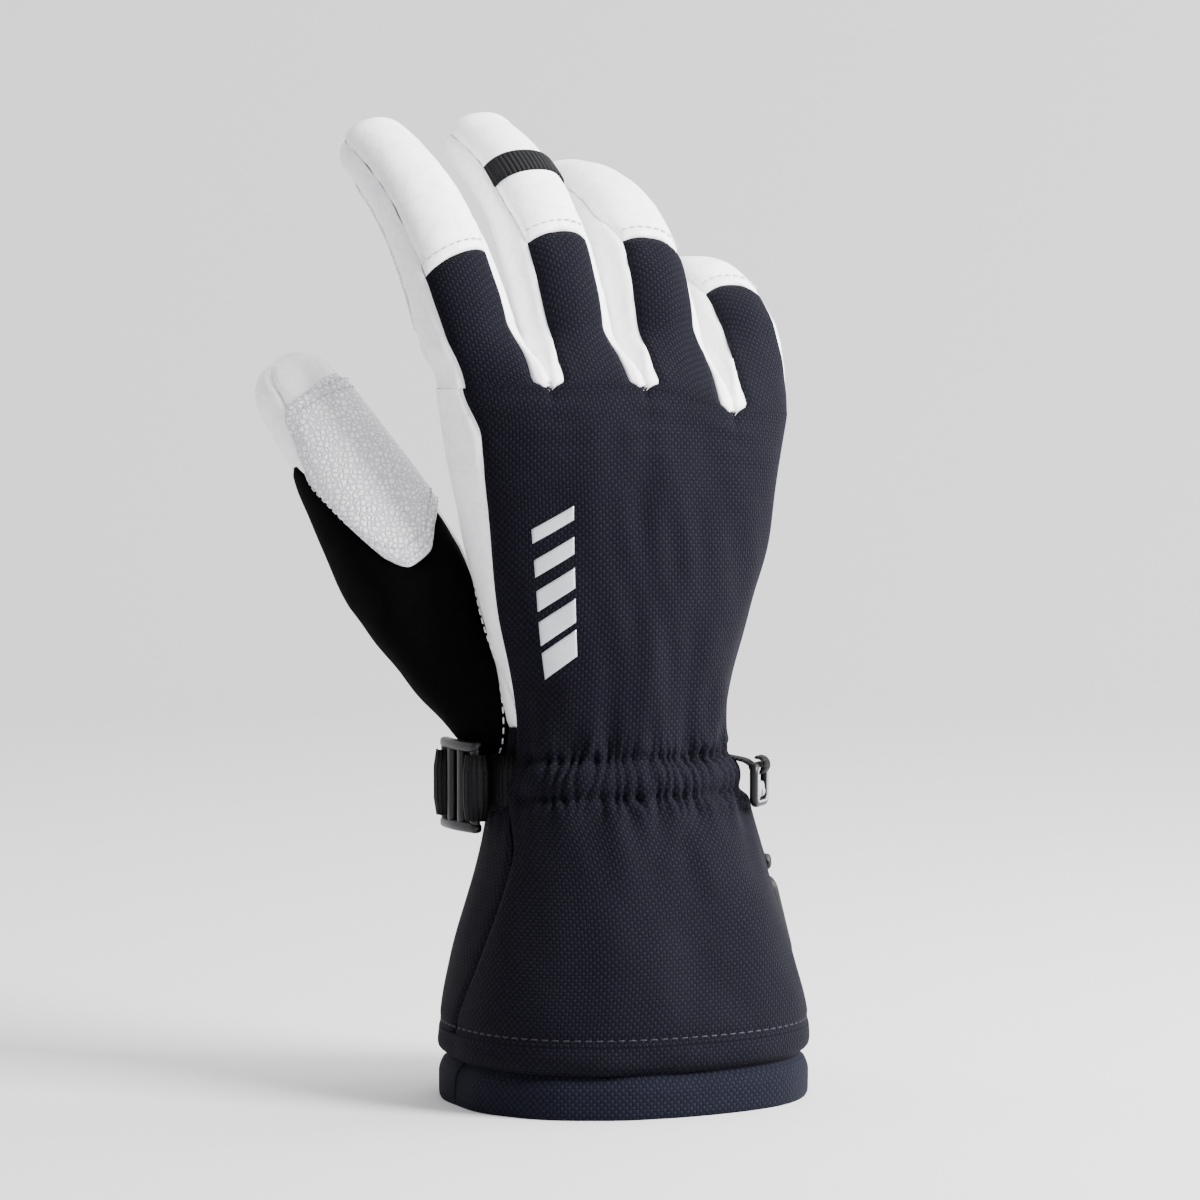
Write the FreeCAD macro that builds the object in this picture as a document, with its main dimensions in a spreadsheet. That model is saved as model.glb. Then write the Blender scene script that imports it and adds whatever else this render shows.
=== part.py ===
"""Right-hand ski glove standing on its cuff: sewn shell panels, linings, wrist strap, clip and pull tab.

Frame: millimetres, +Z up from the surface under the cuff, +X towards the little finger, +Y towards the palm,
so the back of the hand faces -Y and the thumb is on the -X side. An angle of 0 degrees round a shell points
to the little finger, 90 to the palm, 180 to the thumb and 270 to the back of the hand.
"""

import FreeCAD, Part
import math
import os
import Sketcher

from FreeCAD import Placement, Rotation, Vector

# ---------------------------------------------------------------------------------------------------------
# driving dimensions: alias, value in millimetres or degrees, what it is
# ---------------------------------------------------------------------------------------------------------
SIZES = [
    ("shell_wall", 1.6, "outer shell, fabric or leather with its foam backing"),
    ("lining_wall", 2.4, "insulation, membrane and lining, bonded together"),
    ("thin_lining_wall", 1.2, "lining of the gauntlet, fingers and thumb"),
    ("layer_gap", 0.2, "free space between two layers"),
    ("joint_gap", 0.5, "clearance between pieces that move past each other"),
    ("squareness", 2.3, "superellipse exponent of every shell outline"),
    ("cuff_height", 20.0, "inner cuff band that stands on the floor, height"),
    ("cuff_half_width", 52.8, "outer hem, across the hand"),
    ("cuff_half_depth", 45.5, "outer hem, back to palm"),
    ("cuff_wall", 2.0, "inner cuff band, wall"),
    ("cuff_flare", 0.8, "how far the inner cuff spreads past the hem at the floor"),
    ("hem_rise", 13.0, "bottom edge of the outer hem above the floor"),
    ("hem_height", 13.0, "turned outer hem, height"),
    ("hem_wall", 2.6, "turned outer hem, two layers"),
    ("gauntlet_top", 94.0, "height at which the gauntlet meets the gathered wrist"),
    ("gauntlet_top_half_width", 34.0, "gauntlet at its top, across"),
    ("gauntlet_top_half_depth", 27.0, "gauntlet at its top, back to palm"),
    ("wrist_height", 102.0, "height of the wrist bending axis"),
    ("wrist_half_width", 32.0, "gathered wrist, across"),
    ("wrist_half_depth", 25.0, "gathered wrist, back to palm"),
    ("elastic_height", 6.0, "elastic tape in the gathered wrist, height"),
    ("elastic_wall", 1.0, "elastic tape, thickness"),
    ("hand_bottom", 110.0, "height at which the hand shell starts"),
    ("heel_rise", 4.0, "bottom of the thumb gusset above the hand shell's lower edge"),
    ("hand_shift", 2.4, "middle of the wrist and hand, towards the thumb"),
    ("palm_half_width", 48.0, "hand at mid palm, across"),
    ("palm_half_depth", 25.5, "hand at mid palm, back to palm"),
    ("knuckle_height", 205.0, "height of the top of the hand shell"),
    ("knuckle_half_depth", 20.0, "hand at the knuckles, back to palm"),
    ("knuckle_clearance", 3.0, "from the top of the hand shell to the knuckle bending axes"),
    ("finger_half_width", 13.3, "finger shell at the knuckle, across"),
    ("finger_half_depth", 13.0, "finger shell at the knuckle, back to palm"),
    ("fingertip_half_width", 10.5, "finger shell near the tip, across"),
    ("finger_gap", 1.9, "free space between neighbouring fingers at the knuckles"),
    ("finger_flex", 30.0, "degrees that a finger folds towards the palm from its relaxed curl"),
    ("thumb_half_width", 17.5, "thumb shell at its base"),
    ("thumb_tip_half_width", 11.5, "thumb shell near the tip"),
    ("thumb_length", 76.0, "thumb shell from its bending axis to the tip"),
    ("thumb_root_length", 42.0, "thumb gusset from the heel of the hand to the bending axis"),
    ("thumb_flex", 25.0, "degrees that the thumb folds towards the palm"),
    ("patch_wall", 1.0, "grained leather grip patches"),
    ("loop_width", 7.5, "webbing strip across the middle finger, width"),
    ("loop_wall", 1.0, "webbing strip across the middle finger, thickness"),
    ("mark_wall", 0.3, "heat-set reflective film, thickness"),
    ("mark_length", 48.0, "heat-set reflective film, along the hand"),
    ("strap_width", 19.0, "wrist webbing, width"),
    ("strap_wall", 1.6, "wrist webbing, thickness"),
    ("strap_height", 90.0, "middle of the wrist webbing above the floor"),
    ("buckle_length", 24.0, "ladder buckle, along the strap"),
    ("buckle_rail", 2.8, "ladder buckle, width of its two side rails"),
    ("buckle_bar", 3.4, "ladder buckle, width of its bars"),
    ("buckle_wall", 3.2, "ladder buckle, thickness"),
    ("clip_length", 13.0, "glove clip, height of its frame"),
    ("clip_width", 12.5, "glove clip, width of its frame"),
    ("clip_wall", 2.4, "glove clip, thickness"),
    ("clip_bar", 2.0, "glove clip, width of its frame's bars"),
    ("clip_webbing_wall", 1.0, "narrow webbing that holds the clip, thickness"),
    ("tongue_gap", 0.8, "slit round the clip's spring tongue"),
    ("tab_length", 25.0, "moulded pull tab, length"),
    ("tab_width", 9.0, "moulded pull tab, width"),
    ("tab_wall", 3.0, "moulded pull tab, thickness"),
    ("tab_top", 61.0, "height of the pull tab's bending axis"),
    ("hardware_round", 1.0, "outer corner radius of the moulded hardware"),
]

# each finger, from the thumb side: splay, curl at the knuckle and at the tip, length to the tip, where the
# leather cap starts along the finger, and how slim it is beside the others
FINGERS = {
    "index": {"splay": -10.0, "curl": (11.0, 64.0), "reach": 92.0, "cap": 31.0, "slim": 0.0},
    "middle": {"splay": -4.5, "curl": (8.0, 70.0), "reach": 97.0, "cap": 37.0, "slim": 0.0},
    "ring": {"splay": -2.5, "curl": (14.0, 88.0), "reach": 96.0, "cap": 35.5, "slim": 0.0},
    "little": {"splay": 0.0, "curl": (28.0, 100.0), "reach": 60.0, "cap": 22.5, "slim": 1.0},
}
THUMB_SPLAY = -25.0
THUMB_ROOT_CURL = (6.0, 16.0)
THUMB_CURL = (15.0, 25.0)
TIP_SHARE = 0.9  # a fingertip is this much flatter than it is wide
CUT = 200.0  # edge of the boxes that trim pieces

doc = FreeCAD.newDocument("ski_glove")
sheet = doc.addObject("Spreadsheet::Sheet", "sizes")
for row, (alias, value, meaning) in enumerate(SIZES, start=1):
    sheet.set(f"A{row}", meaning)
    sheet.set(f"B{row}", str(value))
    sheet.setAlias(f"B{row}", alias)
doc.recompute()
parts = []


def size(alias):
    """The value of one cell of the sheet, in millimetres or degrees."""
    return float(sheet.get(alias))


def between(low, high, share):
    """The value a share of the way from low to high."""
    return low + (high - low) * share


def smooth(share):
    """A smooth step from 0 to 1."""
    share = min(max(share, 0.0), 1.0)
    return share * share * (3 - 2 * share)


# ---------------------------------------------------------------------------------------------------------
# outlines and lofts of the sewn pieces
# ---------------------------------------------------------------------------------------------------------
class Station:
    """One cross-section of a tube: its centre, the directions of its width and depth, and its half sizes."""

    def __init__(self, centre, across, deep, half_width, half_depth):
        self.centre, self.across, self.deep = centre, across, deep
        self.half_width, self.half_depth = half_width, half_depth

    def point(self, angle, inset=0.0):
        """The superellipse's point at an angle in degrees, moved in by inset on both half sizes."""
        cosine, sine = math.cos(math.radians(angle)), math.sin(math.radians(angle))
        power = 2 / size("squareness")
        x = math.copysign(abs(cosine) ** power, cosine) * max(self.half_width - inset, 0.5)
        y = math.copysign(abs(sine) ** power, sine) * max(self.half_depth - inset, 0.5)
        return self.centre + self.across * x + self.deep * y

    def points(self, start, end, inset, steps=8):
        """Evenly turned points of the outline from one angle to another."""
        return [self.point(between(start, end, i / steps), inset) for i in range(steps + 1)]

    def band(self, start, end, outer, inner):
        """A closed wire: the outline between two angles, with its wall from inset outer to inset inner."""
        return ribbon(self.points(start, end, outer), self.points(start, end, inner))

    def ring(self, inset):
        """The whole outline as one closed spline wire."""
        return Part.Wire(spline(self.points(0, 345, inset, 23), closed=True))

    def moved(self, step):
        """The same cross-section, shifted by a vector."""
        return Station(self.centre + step, self.across, self.deep, self.half_width, self.half_depth)


def spline(points, closed=False):
    """A smooth edge through points."""
    curve = Part.BSplineCurve()
    curve.interpolate(points, PeriodicFlag=closed)
    return curve.toShape()


def ribbon(outer, inner):
    """The closed wire between two rows of points."""
    return Part.Wire([
        spline(outer),
        Part.makeLine(outer[-1], inner[-1]),
        spline(inner[::-1]),
        Part.makeLine(inner[0], outer[0]),
    ])


def panel(stations, start, end, wall=None):
    """A sewn panel: the loft of the same angular band of every station."""
    wall = size("shell_wall") if wall is None else wall
    return Part.makeLoft([station.band(start, end, 0.0, wall) for station in stations], True, True)


def core(stations, inset=0.0):
    """The solid inside a tube's outline, moved in by inset."""
    return Part.makeLoft([station.ring(inset) for station in stations], True, True)


def sleeve(stations, inset, wall):
    """A tube open at both ends: its bore runs past both ends so that the cut leaves them open."""
    first, last = stations[0], stations[-1]
    below = (first.centre - stations[1].centre).normalize() * 2
    above = (last.centre - stations[-2].centre).normalize() * 2
    bore = core([first.moved(below)] + stations + [last.moved(above)], inset + wall)
    return core(stations, inset).cut(bore)


# ---------------------------------------------------------------------------------------------------------
# cross-sections of the gauntlet, wrist and hand, by height
# ---------------------------------------------------------------------------------------------------------
def finger_pitch():
    """Distance between neighbouring finger centres at the knuckles."""
    return 2 * size("finger_half_width") + size("finger_gap")


def arm_profile():
    """Height, half width, half depth and sideways centre of the glove from the hem to the knuckles."""
    hem, top, wrist = size("hem_rise"), size("gauntlet_top"), size("wrist_height")
    hand, knuckle = size("hand_bottom"), size("knuckle_height")
    cuff_w, cuff_d = size("cuff_half_width"), size("cuff_half_depth")
    top_w, top_d = size("gauntlet_top_half_width"), size("gauntlet_top_half_depth")
    wrist_w, wrist_d = size("wrist_half_width"), size("wrist_half_depth")
    palm_w, palm_d = size("palm_half_width"), size("palm_half_depth")
    knuckle_w, knuckle_d = 1.5 * finger_pitch() + size("finger_half_width") - 1.5, size("knuckle_half_depth")
    shift = -size("hand_shift")
    return [
        (0.0, cuff_w, cuff_d, 0.0),
        (hem + size("hem_height") / 2, cuff_w, cuff_d, 0.0),
        (between(hem, top, 0.33), between(cuff_w, top_w, 0.18), between(cuff_d, top_d, 0.20), 0.2 * shift),
        (between(hem, top, 0.67), between(cuff_w, top_w, 0.62), between(cuff_d, top_d, 0.58), 0.5 * shift),
        (top, top_w, top_d, shift),
        (wrist, wrist_w, wrist_d, shift),
        (hand, wrist_w + 0.4, wrist_d, shift),
        (between(hand, knuckle, 0.33), between(wrist_w, palm_w, 0.52), between(wrist_d, palm_d, 0.9), shift),
        (between(hand, knuckle, 0.65), palm_w, palm_d, shift),
        (between(hand, knuckle, 0.88), between(palm_w, knuckle_w, 0.75), between(palm_d, knuckle_d, 0.4), shift),
        (knuckle, knuckle_w, knuckle_d, shift - 0.5),
    ]


def arm_station(height, grow=0.0):
    """The glove's cross-section at a height, from the profile, grown outwards by grow."""
    profile = arm_profile()
    index = next(i for i in range(1, len(profile)) if height <= profile[i][0] + 1e-6)
    low, high = profile[index - 1], profile[index]
    share = (height - low[0]) / (high[0] - low[0])
    half_width, half_depth, middle = (between(low[i], high[i], share) for i in (1, 2, 3))
    centre = Vector(middle, 0, height)
    return Station(centre, Vector(1, 0, 0), Vector(0, 1, 0), half_width + grow, half_depth + grow)


def arm_stations(low, high, grow=0.0):
    """Stations of the arm: both ends and every profile height between them."""
    heights = [low] + [row[0] for row in arm_profile() if low + 0.5 < row[0] < high - 0.5] + [high]
    return [arm_station(height, grow) for height in heights]


# ---------------------------------------------------------------------------------------------------------
# fingers and thumb: tubes along a curled centreline
# ---------------------------------------------------------------------------------------------------------
class Digit:
    """A finger, a thumb or its root: a curled centreline in one plane, inside a tube that narrows."""

    def __init__(self, foot, splay, curl, reach, base_half, tip_half):
        self.foot, self.splay, self.curl, self.reach = foot, math.radians(splay), curl, reach
        self.base_half, self.tip_half = base_half, tip_half
        self.across = Vector(math.cos(self.splay), 0, -math.sin(self.splay))

    def heading(self, along):
        """Unit tangent of the centreline at a distance along it."""
        tilt = math.radians(between(*self.curl, smooth(along / self.reach)))
        up = Vector(math.sin(self.splay), 0, math.cos(self.splay))
        return up * math.cos(tilt) + Vector(0, 1, 0) * math.sin(tilt)

    def centre(self, along):
        """The centreline's point at a distance along it, by short straight steps."""
        steps = max(1, int(abs(along)))
        point = Vector(self.foot)
        for step in range(steps):
            point = point + self.heading((step + 0.5) * along / steps) * (along / steps)
        return point

    def half_sizes(self, along):
        """Half width and half depth at a distance along, with a rounded tip."""
        taper = smooth(along / self.reach)
        left = min((self.reach - along) / self.tip_half, 1.0)
        dome = math.sqrt(max(0.0, 1 - (1 - left) ** 2))
        half_width = between(self.base_half[0], self.tip_half, taper)
        half_depth = between(self.base_half[1], self.tip_half * TIP_SHARE, taper)
        return half_width, half_depth, dome

    def station(self, along, grow=0.0):
        """The cross-section at a distance along the centreline."""
        half_width, half_depth, dome = self.half_sizes(along)
        deep = self.heading(along).cross(self.across)
        return Station(
            self.centre(along), self.across, deep, (half_width + grow) * dome, (half_depth + grow) * dome,
        )

    def stations(self, start, end, grow=0.0, count=7):
        """Evenly spaced stations, then closer ones where the tip rounds off."""
        dome_start = self.reach - self.tip_half
        body_end = min(end, dome_start)
        places = [between(start, body_end, i / (count - 1)) for i in range(count)]
        if end > dome_start:
            places += [between(dome_start, end, share) for share in (0.35, 0.65, 0.88, 1.0)]
        return [self.station(place, grow) for place in places]


class ThumbRoot(Digit):
    """The thumb's root, which swells quickly out of the heel of the hand."""

    def half_sizes(self, along):
        """Half width and half depth at a distance along, narrow where it leaves the heel."""
        swell = 1 - 0.4 * max(0.0, 1 - along / (0.38 * self.reach)) ** 2
        return self.base_half[0] * swell, self.base_half[1] * swell, 1.0


def finger(name):
    """The digit of one finger, with its foot on its knuckle bending axis."""
    facts = FINGERS[name]
    place = (list(FINGERS).index(name) - 1.5) * finger_pitch() - size("hand_shift") - 0.9
    foot = Vector(place, 1.0, size("knuckle_height") + size("knuckle_clearance"))
    half = (size("finger_half_width") - facts["slim"], size("finger_half_depth") - facts["slim"])
    tip_half = size("fingertip_half_width") - facts["slim"]
    return Digit(foot, facts["splay"], facts["curl"], facts["reach"], half, tip_half)


def thumb_root():
    """The flared root of the thumb, inside the heel of the hand at its lower end."""
    foot = Vector(12 - size("hand_shift") - size("palm_half_width"), size("palm_half_depth") - 7.5, size("hand_bottom"))
    half = size("thumb_half_width") + 0.5
    return ThumbRoot(foot, THUMB_SPLAY, THUMB_ROOT_CURL, size("thumb_root_length"), (half, half), half)


def thumb():
    """The digit of the thumb, with its foot on its bending axis."""
    half, tip_half = size("thumb_half_width"), size("thumb_tip_half_width")
    foot = thumb_root().centre(size("thumb_root_length"))
    return Digit(foot, THUMB_SPLAY, THUMB_CURL, size("thumb_length"), (half, half), tip_half)


def finger_room(name):
    """How far above its bending axis a finger's shell starts, so that it folds without meeting the hand."""
    bent = math.radians(size("finger_flex") + FINGERS[name]["curl"][0])
    depth = size("finger_half_depth")
    return depth * math.tan(bent / 2) + 6 * size("joint_gap")


def thumb_room():
    """How far on each side of the thumb's bending axis the shells stop."""
    return size("thumb_half_width") * math.tan(math.radians(size("thumb_flex")) / 2) + size("joint_gap")


# ---------------------------------------------------------------------------------------------------------
# sewn sub-parts
# ---------------------------------------------------------------------------------------------------------
def add(label, shape):
    """Adds a sewn piece under its own label."""
    feature = doc.addObject("Part::Feature", label)
    feature.Label = label
    feature.Shape = shape
    feature.Placement = Placement()
    parts.append(feature)


def add_gauntlet():
    """Two gauntlet panels, the turned hem, the inner cuff band and the lining."""
    hem, gap, top = size("hem_rise"), size("layer_gap"), size("gauntlet_top")
    hem_top, cuff_top = hem + size("hem_height"), size("cuff_height")
    shell = arm_stations(hem_top + gap, top)
    add("gauntlet_back_panel", panel(shell, 180, 360))
    add("gauntlet_palm_panel", panel(shell, 0, 180))
    add("gauntlet_hem", sleeve(arm_stations(hem, hem_top), 0.0, size("hem_wall")))
    inside_hem, flare = size("hem_wall") + gap, size("cuff_flare")
    band = [
        arm_station(0.0, flare), arm_station(hem - 3, flare / 2), arm_station(hem - gap, -inside_hem),
        arm_station(cuff_top, -inside_hem),
    ]
    add("inner_cuff_band", sleeve(band, 0.0, size("cuff_wall")))
    add("gauntlet_lining", sleeve(arm_stations(cuff_top + gap, top), inside_hem, size("thin_lining_wall")))


def add_wrist():
    """The gathered fabric between gauntlet and hand, and the elastic tape sewn inside it."""
    gap, middle, half = size("layer_gap"), size("wrist_height"), size("elastic_height") / 2
    gather = arm_stations(size("gauntlet_top") + gap, size("hand_bottom") - gap)
    add("wrist_gather", sleeve(gather, 0.0, size("shell_wall")))
    tape = arm_stations(middle - half, middle + half)
    add("wrist_elastic", sleeve(tape, size("shell_wall") + gap, size("elastic_wall")))


def floor_block(height):
    """A block that holds everything up to a height."""
    return Part.makeBox(CUT, CUT, height, Vector(-CUT / 2, -CUT / 2, 0))


def add_hand():
    """The hand shell's panels, its lining, the thumb gusset and the reflective film."""
    low, high, wall = size("hand_bottom"), size("knuckle_height"), size("shell_wall")
    shell = arm_stations(low, high)
    root = thumb_root()
    root_top = size("thumb_root_length") - thumb_room()
    root_stations = [root.station(between(0, root_top, share)) for share in (0.0, 0.15, 0.3, 0.5, 0.75, 1.0)]
    thumb_way = core(root_stations, -size("layer_gap"))
    add("hand_back_panel", panel(shell, 200, 360).cut(thumb_way))
    add("hand_side_strip", panel(shell, 172, 200).cut(thumb_way))
    add("hand_palm_panel", panel(shell, 0, 172).cut(thumb_way))
    inset, lining_end = wall + size("layer_gap"), high - size("finger_half_depth")
    lining = arm_stations(low + size("elastic_height"), lining_end)
    add("hand_lining", sleeve(lining, inset, size("lining_wall")).cut(thumb_way))
    hollow = core(shell, inset + size("lining_wall"))
    heel = low + size("heel_rise")
    bore = core(root_stations + [root.station(root_top + 2)], wall).cut(floor_block(heel + wall))
    add("thumb_gusset", core(root_stations).cut(floor_block(heel)).cut(bore).cut(hollow))
    start, film = between(low, high, 0.12), size("mark_wall")
    mark = [arm_station(start + size("mark_length") * i / 3, film + size("layer_gap")) for i in range(4)]
    add("reflective_mark", panel(mark, 211, 227, film))


def add_finger(name):
    """One finger: fold zone, fabric back, leather cap, two side walls, palm side and lining."""
    digit, cap, gap = finger(name), FINGERS[name]["cap"], size("layer_gap")
    tip = digit.reach - 0.25
    room = finger_room(name)
    fold = sleeve(digit.stations(-size("finger_half_depth"), room - gap, count=5), 0.0, size("shell_wall"))
    add(f"{name}_knuckle_fold", fold.cut(floor_block(size("knuckle_height") + gap)))
    add(f"{name}_back", panel(digit.stations(room, cap - gap, count=5), 222, 318))
    add(f"{name}_cap", panel(digit.stations(cap, tip, count=6), 222, 318))
    add(f"{name}_thumb_side_wall", panel(digit.stations(room, tip), 138, 222))
    add(f"{name}_little_side_wall", panel(digit.stations(room, tip), -42, 42))
    add(f"{name}_palm_side", panel(digit.stations(room, tip), 42, 138))
    lining = digit.stations(room, digit.reach - digit.tip_half)
    add(f"{name}_lining", sleeve(lining, size("shell_wall") + gap, size("thin_lining_wall")))


def add_finger_trim():
    """The webbing strip across the middle finger's cap and the index finger's grip patch."""
    middle, index = finger("middle"), finger("index")
    start, wall = FINGERS["middle"]["cap"] + 15, size("loop_wall")
    strip = [middle.station(start + size("loop_width") * i / 2, wall + size("layer_gap")) for i in range(3)]
    add("middle_finger_strip", panel(strip, 218, 322, wall))
    wall = size("patch_wall")
    patch = index.stations(finger_room("index") + 4, 0.8 * index.reach, wall + size("layer_gap"), 6)
    add("index_grip_patch", panel(patch, 60, 160, wall))


def add_thumb():
    """The thumb: fold zone, back and palm halves, grained grip patch and lining."""
    digit, room, gap, wall = thumb(), thumb_room(), size("layer_gap"), size("shell_wall")
    tip = digit.reach - 0.25
    add("thumb_knuckle_fold", sleeve(digit.stations(gap - room, room - gap, count=3), 0.5, wall))
    add("thumb_back", panel(digit.stations(room, tip), 170, 350))
    add("thumb_palm_side", panel(digit.stations(room, tip), -10, 170))
    patch = digit.stations(room + 3, digit.reach - 22, size("patch_wall") + gap, 5)
    add("thumb_grip_patch", panel(patch, 262, 400, size("patch_wall")))
    lining = digit.stations(room, digit.reach - digit.tip_half)
    add("thumb_lining", sleeve(lining, wall + gap, size("thin_lining_wall")))


# ---------------------------------------------------------------------------------------------------------
# webbing
# ---------------------------------------------------------------------------------------------------------
def strap_section():
    """The gauntlet's cross-section under the strap's lower edge, where it is widest."""
    return arm_station(size("strap_height") - size("strap_width") / 2)


def eye_radius(bar, wall):
    """Inner radius of a webbing eye that turns freely round a flat bar."""
    return math.hypot(bar, wall) / 2 + 0.2


def buckle_centre_line():
    """Where the middle of the buckle's first bar stands, seen from above."""
    eye = eye_radius(size("buckle_bar"), size("buckle_wall")) + size("strap_wall")
    section = strap_section()
    return Vector(section.centre.x - section.half_width - eye - size("joint_gap"), 6.0, 0)


def webbing(route, wall, low, height):
    """A flat webbing band that follows a row of points, standing on edge from low to low + height."""
    sides = []
    for before, after in zip([route[0]] + route[:-1], route[1:] + [route[-1]]):
        ahead = (after - before).normalize()
        sides.append(Vector(ahead.y, -ahead.x, 0) * wall)
    outer = [point + side for point, side in zip(route, sides)]
    band = Part.Face(ribbon(outer, route)).extrude(Vector(0, 0, height))
    band.translate(Vector(0, 0, low))
    return band


def webbing_eye(centre, radius, wall, low, height):
    """The webbing's end turned round a bar and sewn back on itself."""
    foot = Vector(centre.x, centre.y, low)
    turn = Part.makeCylinder(radius + wall, height, foot)
    return turn.cut(Part.makeCylinder(radius, height, foot))


def add_strap():
    """The strap from the back seam to the buckle, and its tail from the buckle to the palm."""
    section, wall = strap_section(), size("strap_wall")
    height = size("strap_width")
    low = size("strap_height") - height / 2
    radius = eye_radius(size("buckle_bar"), size("buckle_wall"))
    near = buckle_centre_line()
    far = near + Vector(0, size("buckle_length") - size("buckle_bar"), 0)
    inner = near.x + radius + wall
    clear = -size("joint_gap")
    start = [flat(section.point(angle, clear)) for angle in (199, 195, 191, 187)]
    route = (start + [Vector(inner, between(start[-1].y, near.y, 0.6), 0), Vector(inner, near.y, 0)])[::-1]
    band = webbing(route, wall, low, height)
    bore = Part.makeCylinder(radius, height, Vector(near.x, near.y, low))
    add("wrist_strap", band.fuse(webbing_eye(near, radius, wall, low, height)).cut(bore).removeSplitter())
    corner = Vector(near.x + 9.0, section.half_depth + 5.0, 0)
    end = [flat(section.point(angle, clear)) for angle in (106, 98, 90)]
    route = [Vector(inner, far.y, 0), Vector(inner + 1.2, far.y + 4.5, 0), corner] + end
    band = webbing(route, -wall, low, height)
    bore = Part.makeCylinder(radius, height, Vector(far.x, far.y, low))
    add("strap_tail", band.fuse(webbing_eye(far, radius, wall, low, height)).cut(bore).removeSplitter())


def flat(point):
    """A point's place seen from above."""
    return Vector(point.x, point.y, 0)


# ---------------------------------------------------------------------------------------------------------
# moulded hardware
# ---------------------------------------------------------------------------------------------------------
def base_plane(body):
    """The body's own XY plane."""
    return next(item for item in body.Origin.OriginFeatures if item.Role == "XY_Plane")


def rectangle(body, name, left, bottom, width, height):
    """A fully constrained rectangle on the body's XY plane, from four sheet expressions."""
    sketch = body.newObject("Sketcher::SketchObject", name)
    sketch.AttachmentSupport = (base_plane(body), [""])
    sketch.MapMode = "FlatFace"
    corners = [Vector(0, 0, 0), Vector(4, 0, 0), Vector(4, 3, 0), Vector(0, 3, 0)]
    for first, second in zip(corners, corners[1:] + corners[:1]):
        sketch.addGeometry(Part.LineSegment(first, second), False)
    for side in range(4):
        sketch.addConstraint(Sketcher.Constraint("Coincident", side, 2, (side + 1) % 4, 1))
    for side, kind in enumerate(("Horizontal", "Vertical", "Horizontal", "Vertical")):
        sketch.addConstraint(Sketcher.Constraint(kind, side))
    named = [
        ("width", Sketcher.Constraint("DistanceX", 0, 1, 0, 2, 4.0), width),
        ("height", Sketcher.Constraint("DistanceY", 1, 1, 1, 2, 3.0), height),
        ("left", Sketcher.Constraint("DistanceX", -1, 1, 0, 1, 1.0), left),
        ("bottom", Sketcher.Constraint("DistanceY", -1, 1, 0, 1, 1.0), bottom),
    ]
    for label, constraint, expression in named:
        index = sketch.addConstraint(constraint)
        sketch.renameConstraint(index, label)
        sketch.setExpression(f"Constraints.{label}", expression)
    doc.recompute()
    return sketch


def moulded_plate(label, left, bottom, width, height, wall):
    """A body with a padded rectangle whose four upright corners are rounded."""
    body = doc.addObject("PartDesign::Body", label)
    body.Label = label
    outline = rectangle(body, f"{label}_outline", left, bottom, width, height)
    pad = body.newObject("PartDesign::Pad", f"{label}_pad")
    pad.Profile = outline
    pad.setExpression("Length", wall)
    doc.recompute()
    upright = [
        f"Edge{number}" for number, edge in enumerate(pad.Shape.Edges, start=1)
        if abs(edge.tangentAt(edge.FirstParameter).z) > 0.99
    ]
    rounding = body.newObject("PartDesign::Fillet", f"{label}_round")
    rounding.Base = (pad, upright)
    rounding.setExpression("Radius", "sizes.hardware_round")
    doc.recompute()
    return body


def window(body, name, left, bottom, width, height):
    """A pocket through the plate, checked to have cut something."""
    before = body.Shape.Volume
    pocket = body.newObject("PartDesign::Pocket", name)
    pocket.Profile = rectangle(body, f"{name}_outline", left, bottom, width, height)
    pocket.Type = "ThroughAll"
    pocket.Reversed = True
    doc.recompute()
    if body.Shape.Volume > before - 0.1:
        raise RuntimeError(f"{name} cut nothing")
    return pocket


def place(body, corner, along, up):
    """Sets the body with its local x along one direction and its local y along another."""
    body.Placement = Placement(corner, Rotation(along, up, along.cross(up), "XYZ"))
    parts.append(body)


def add_buckle():
    """The ladder buckle: a plate with three slots, so that four bars are left."""
    slot = "(sizes.buckle_length - 4 * sizes.buckle_bar) / 3"
    slot_height = "(sizes.strap_width + 2 * sizes.tongue_gap)"
    body = moulded_plate(
        "ladder_buckle", "-sizes.buckle_bar / 2", f"-{slot_height} / 2 - sizes.buckle_rail", "sizes.buckle_length",
        f"{slot_height} + 2 * sizes.buckle_rail", "sizes.buckle_wall",
    )
    pocket = window(body, "buckle_slot", "sizes.buckle_bar / 2", f"-{slot_height} / 2", slot, slot_height)
    rungs = body.newObject("PartDesign::LinearPattern", "buckle_slots")
    rungs.Originals = [pocket]
    rungs.Direction = (pocket.Profile[0], ["H_Axis"])
    rungs.Occurrences = 3
    rungs.setExpression("Length", f"2 * (sizes.buckle_bar + {slot})")
    body.Tip = rungs
    doc.recompute()
    corner = buckle_centre_line() + Vector(-size("buckle_wall") / 2, 0, size("strap_height"))
    place(body, corner, Vector(0, 1, 0), Vector(0, 0, 1))


def clip_pivot():
    """The middle of the clip's top bar, beside the wrist between the little finger and the back."""
    section = arm_station(size("strap_height") - size("clip_length") / 2)
    return flat(section.point(-32)) + Vector(4.2, -1.6, size("strap_height") + size("clip_length") / 2 - 1)


CLIP_ALONG = Vector(math.cos(math.radians(45)), math.sin(math.radians(45)), 0)
CLIP_OUT = Vector(CLIP_ALONG.y, -CLIP_ALONG.x, 0)


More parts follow.
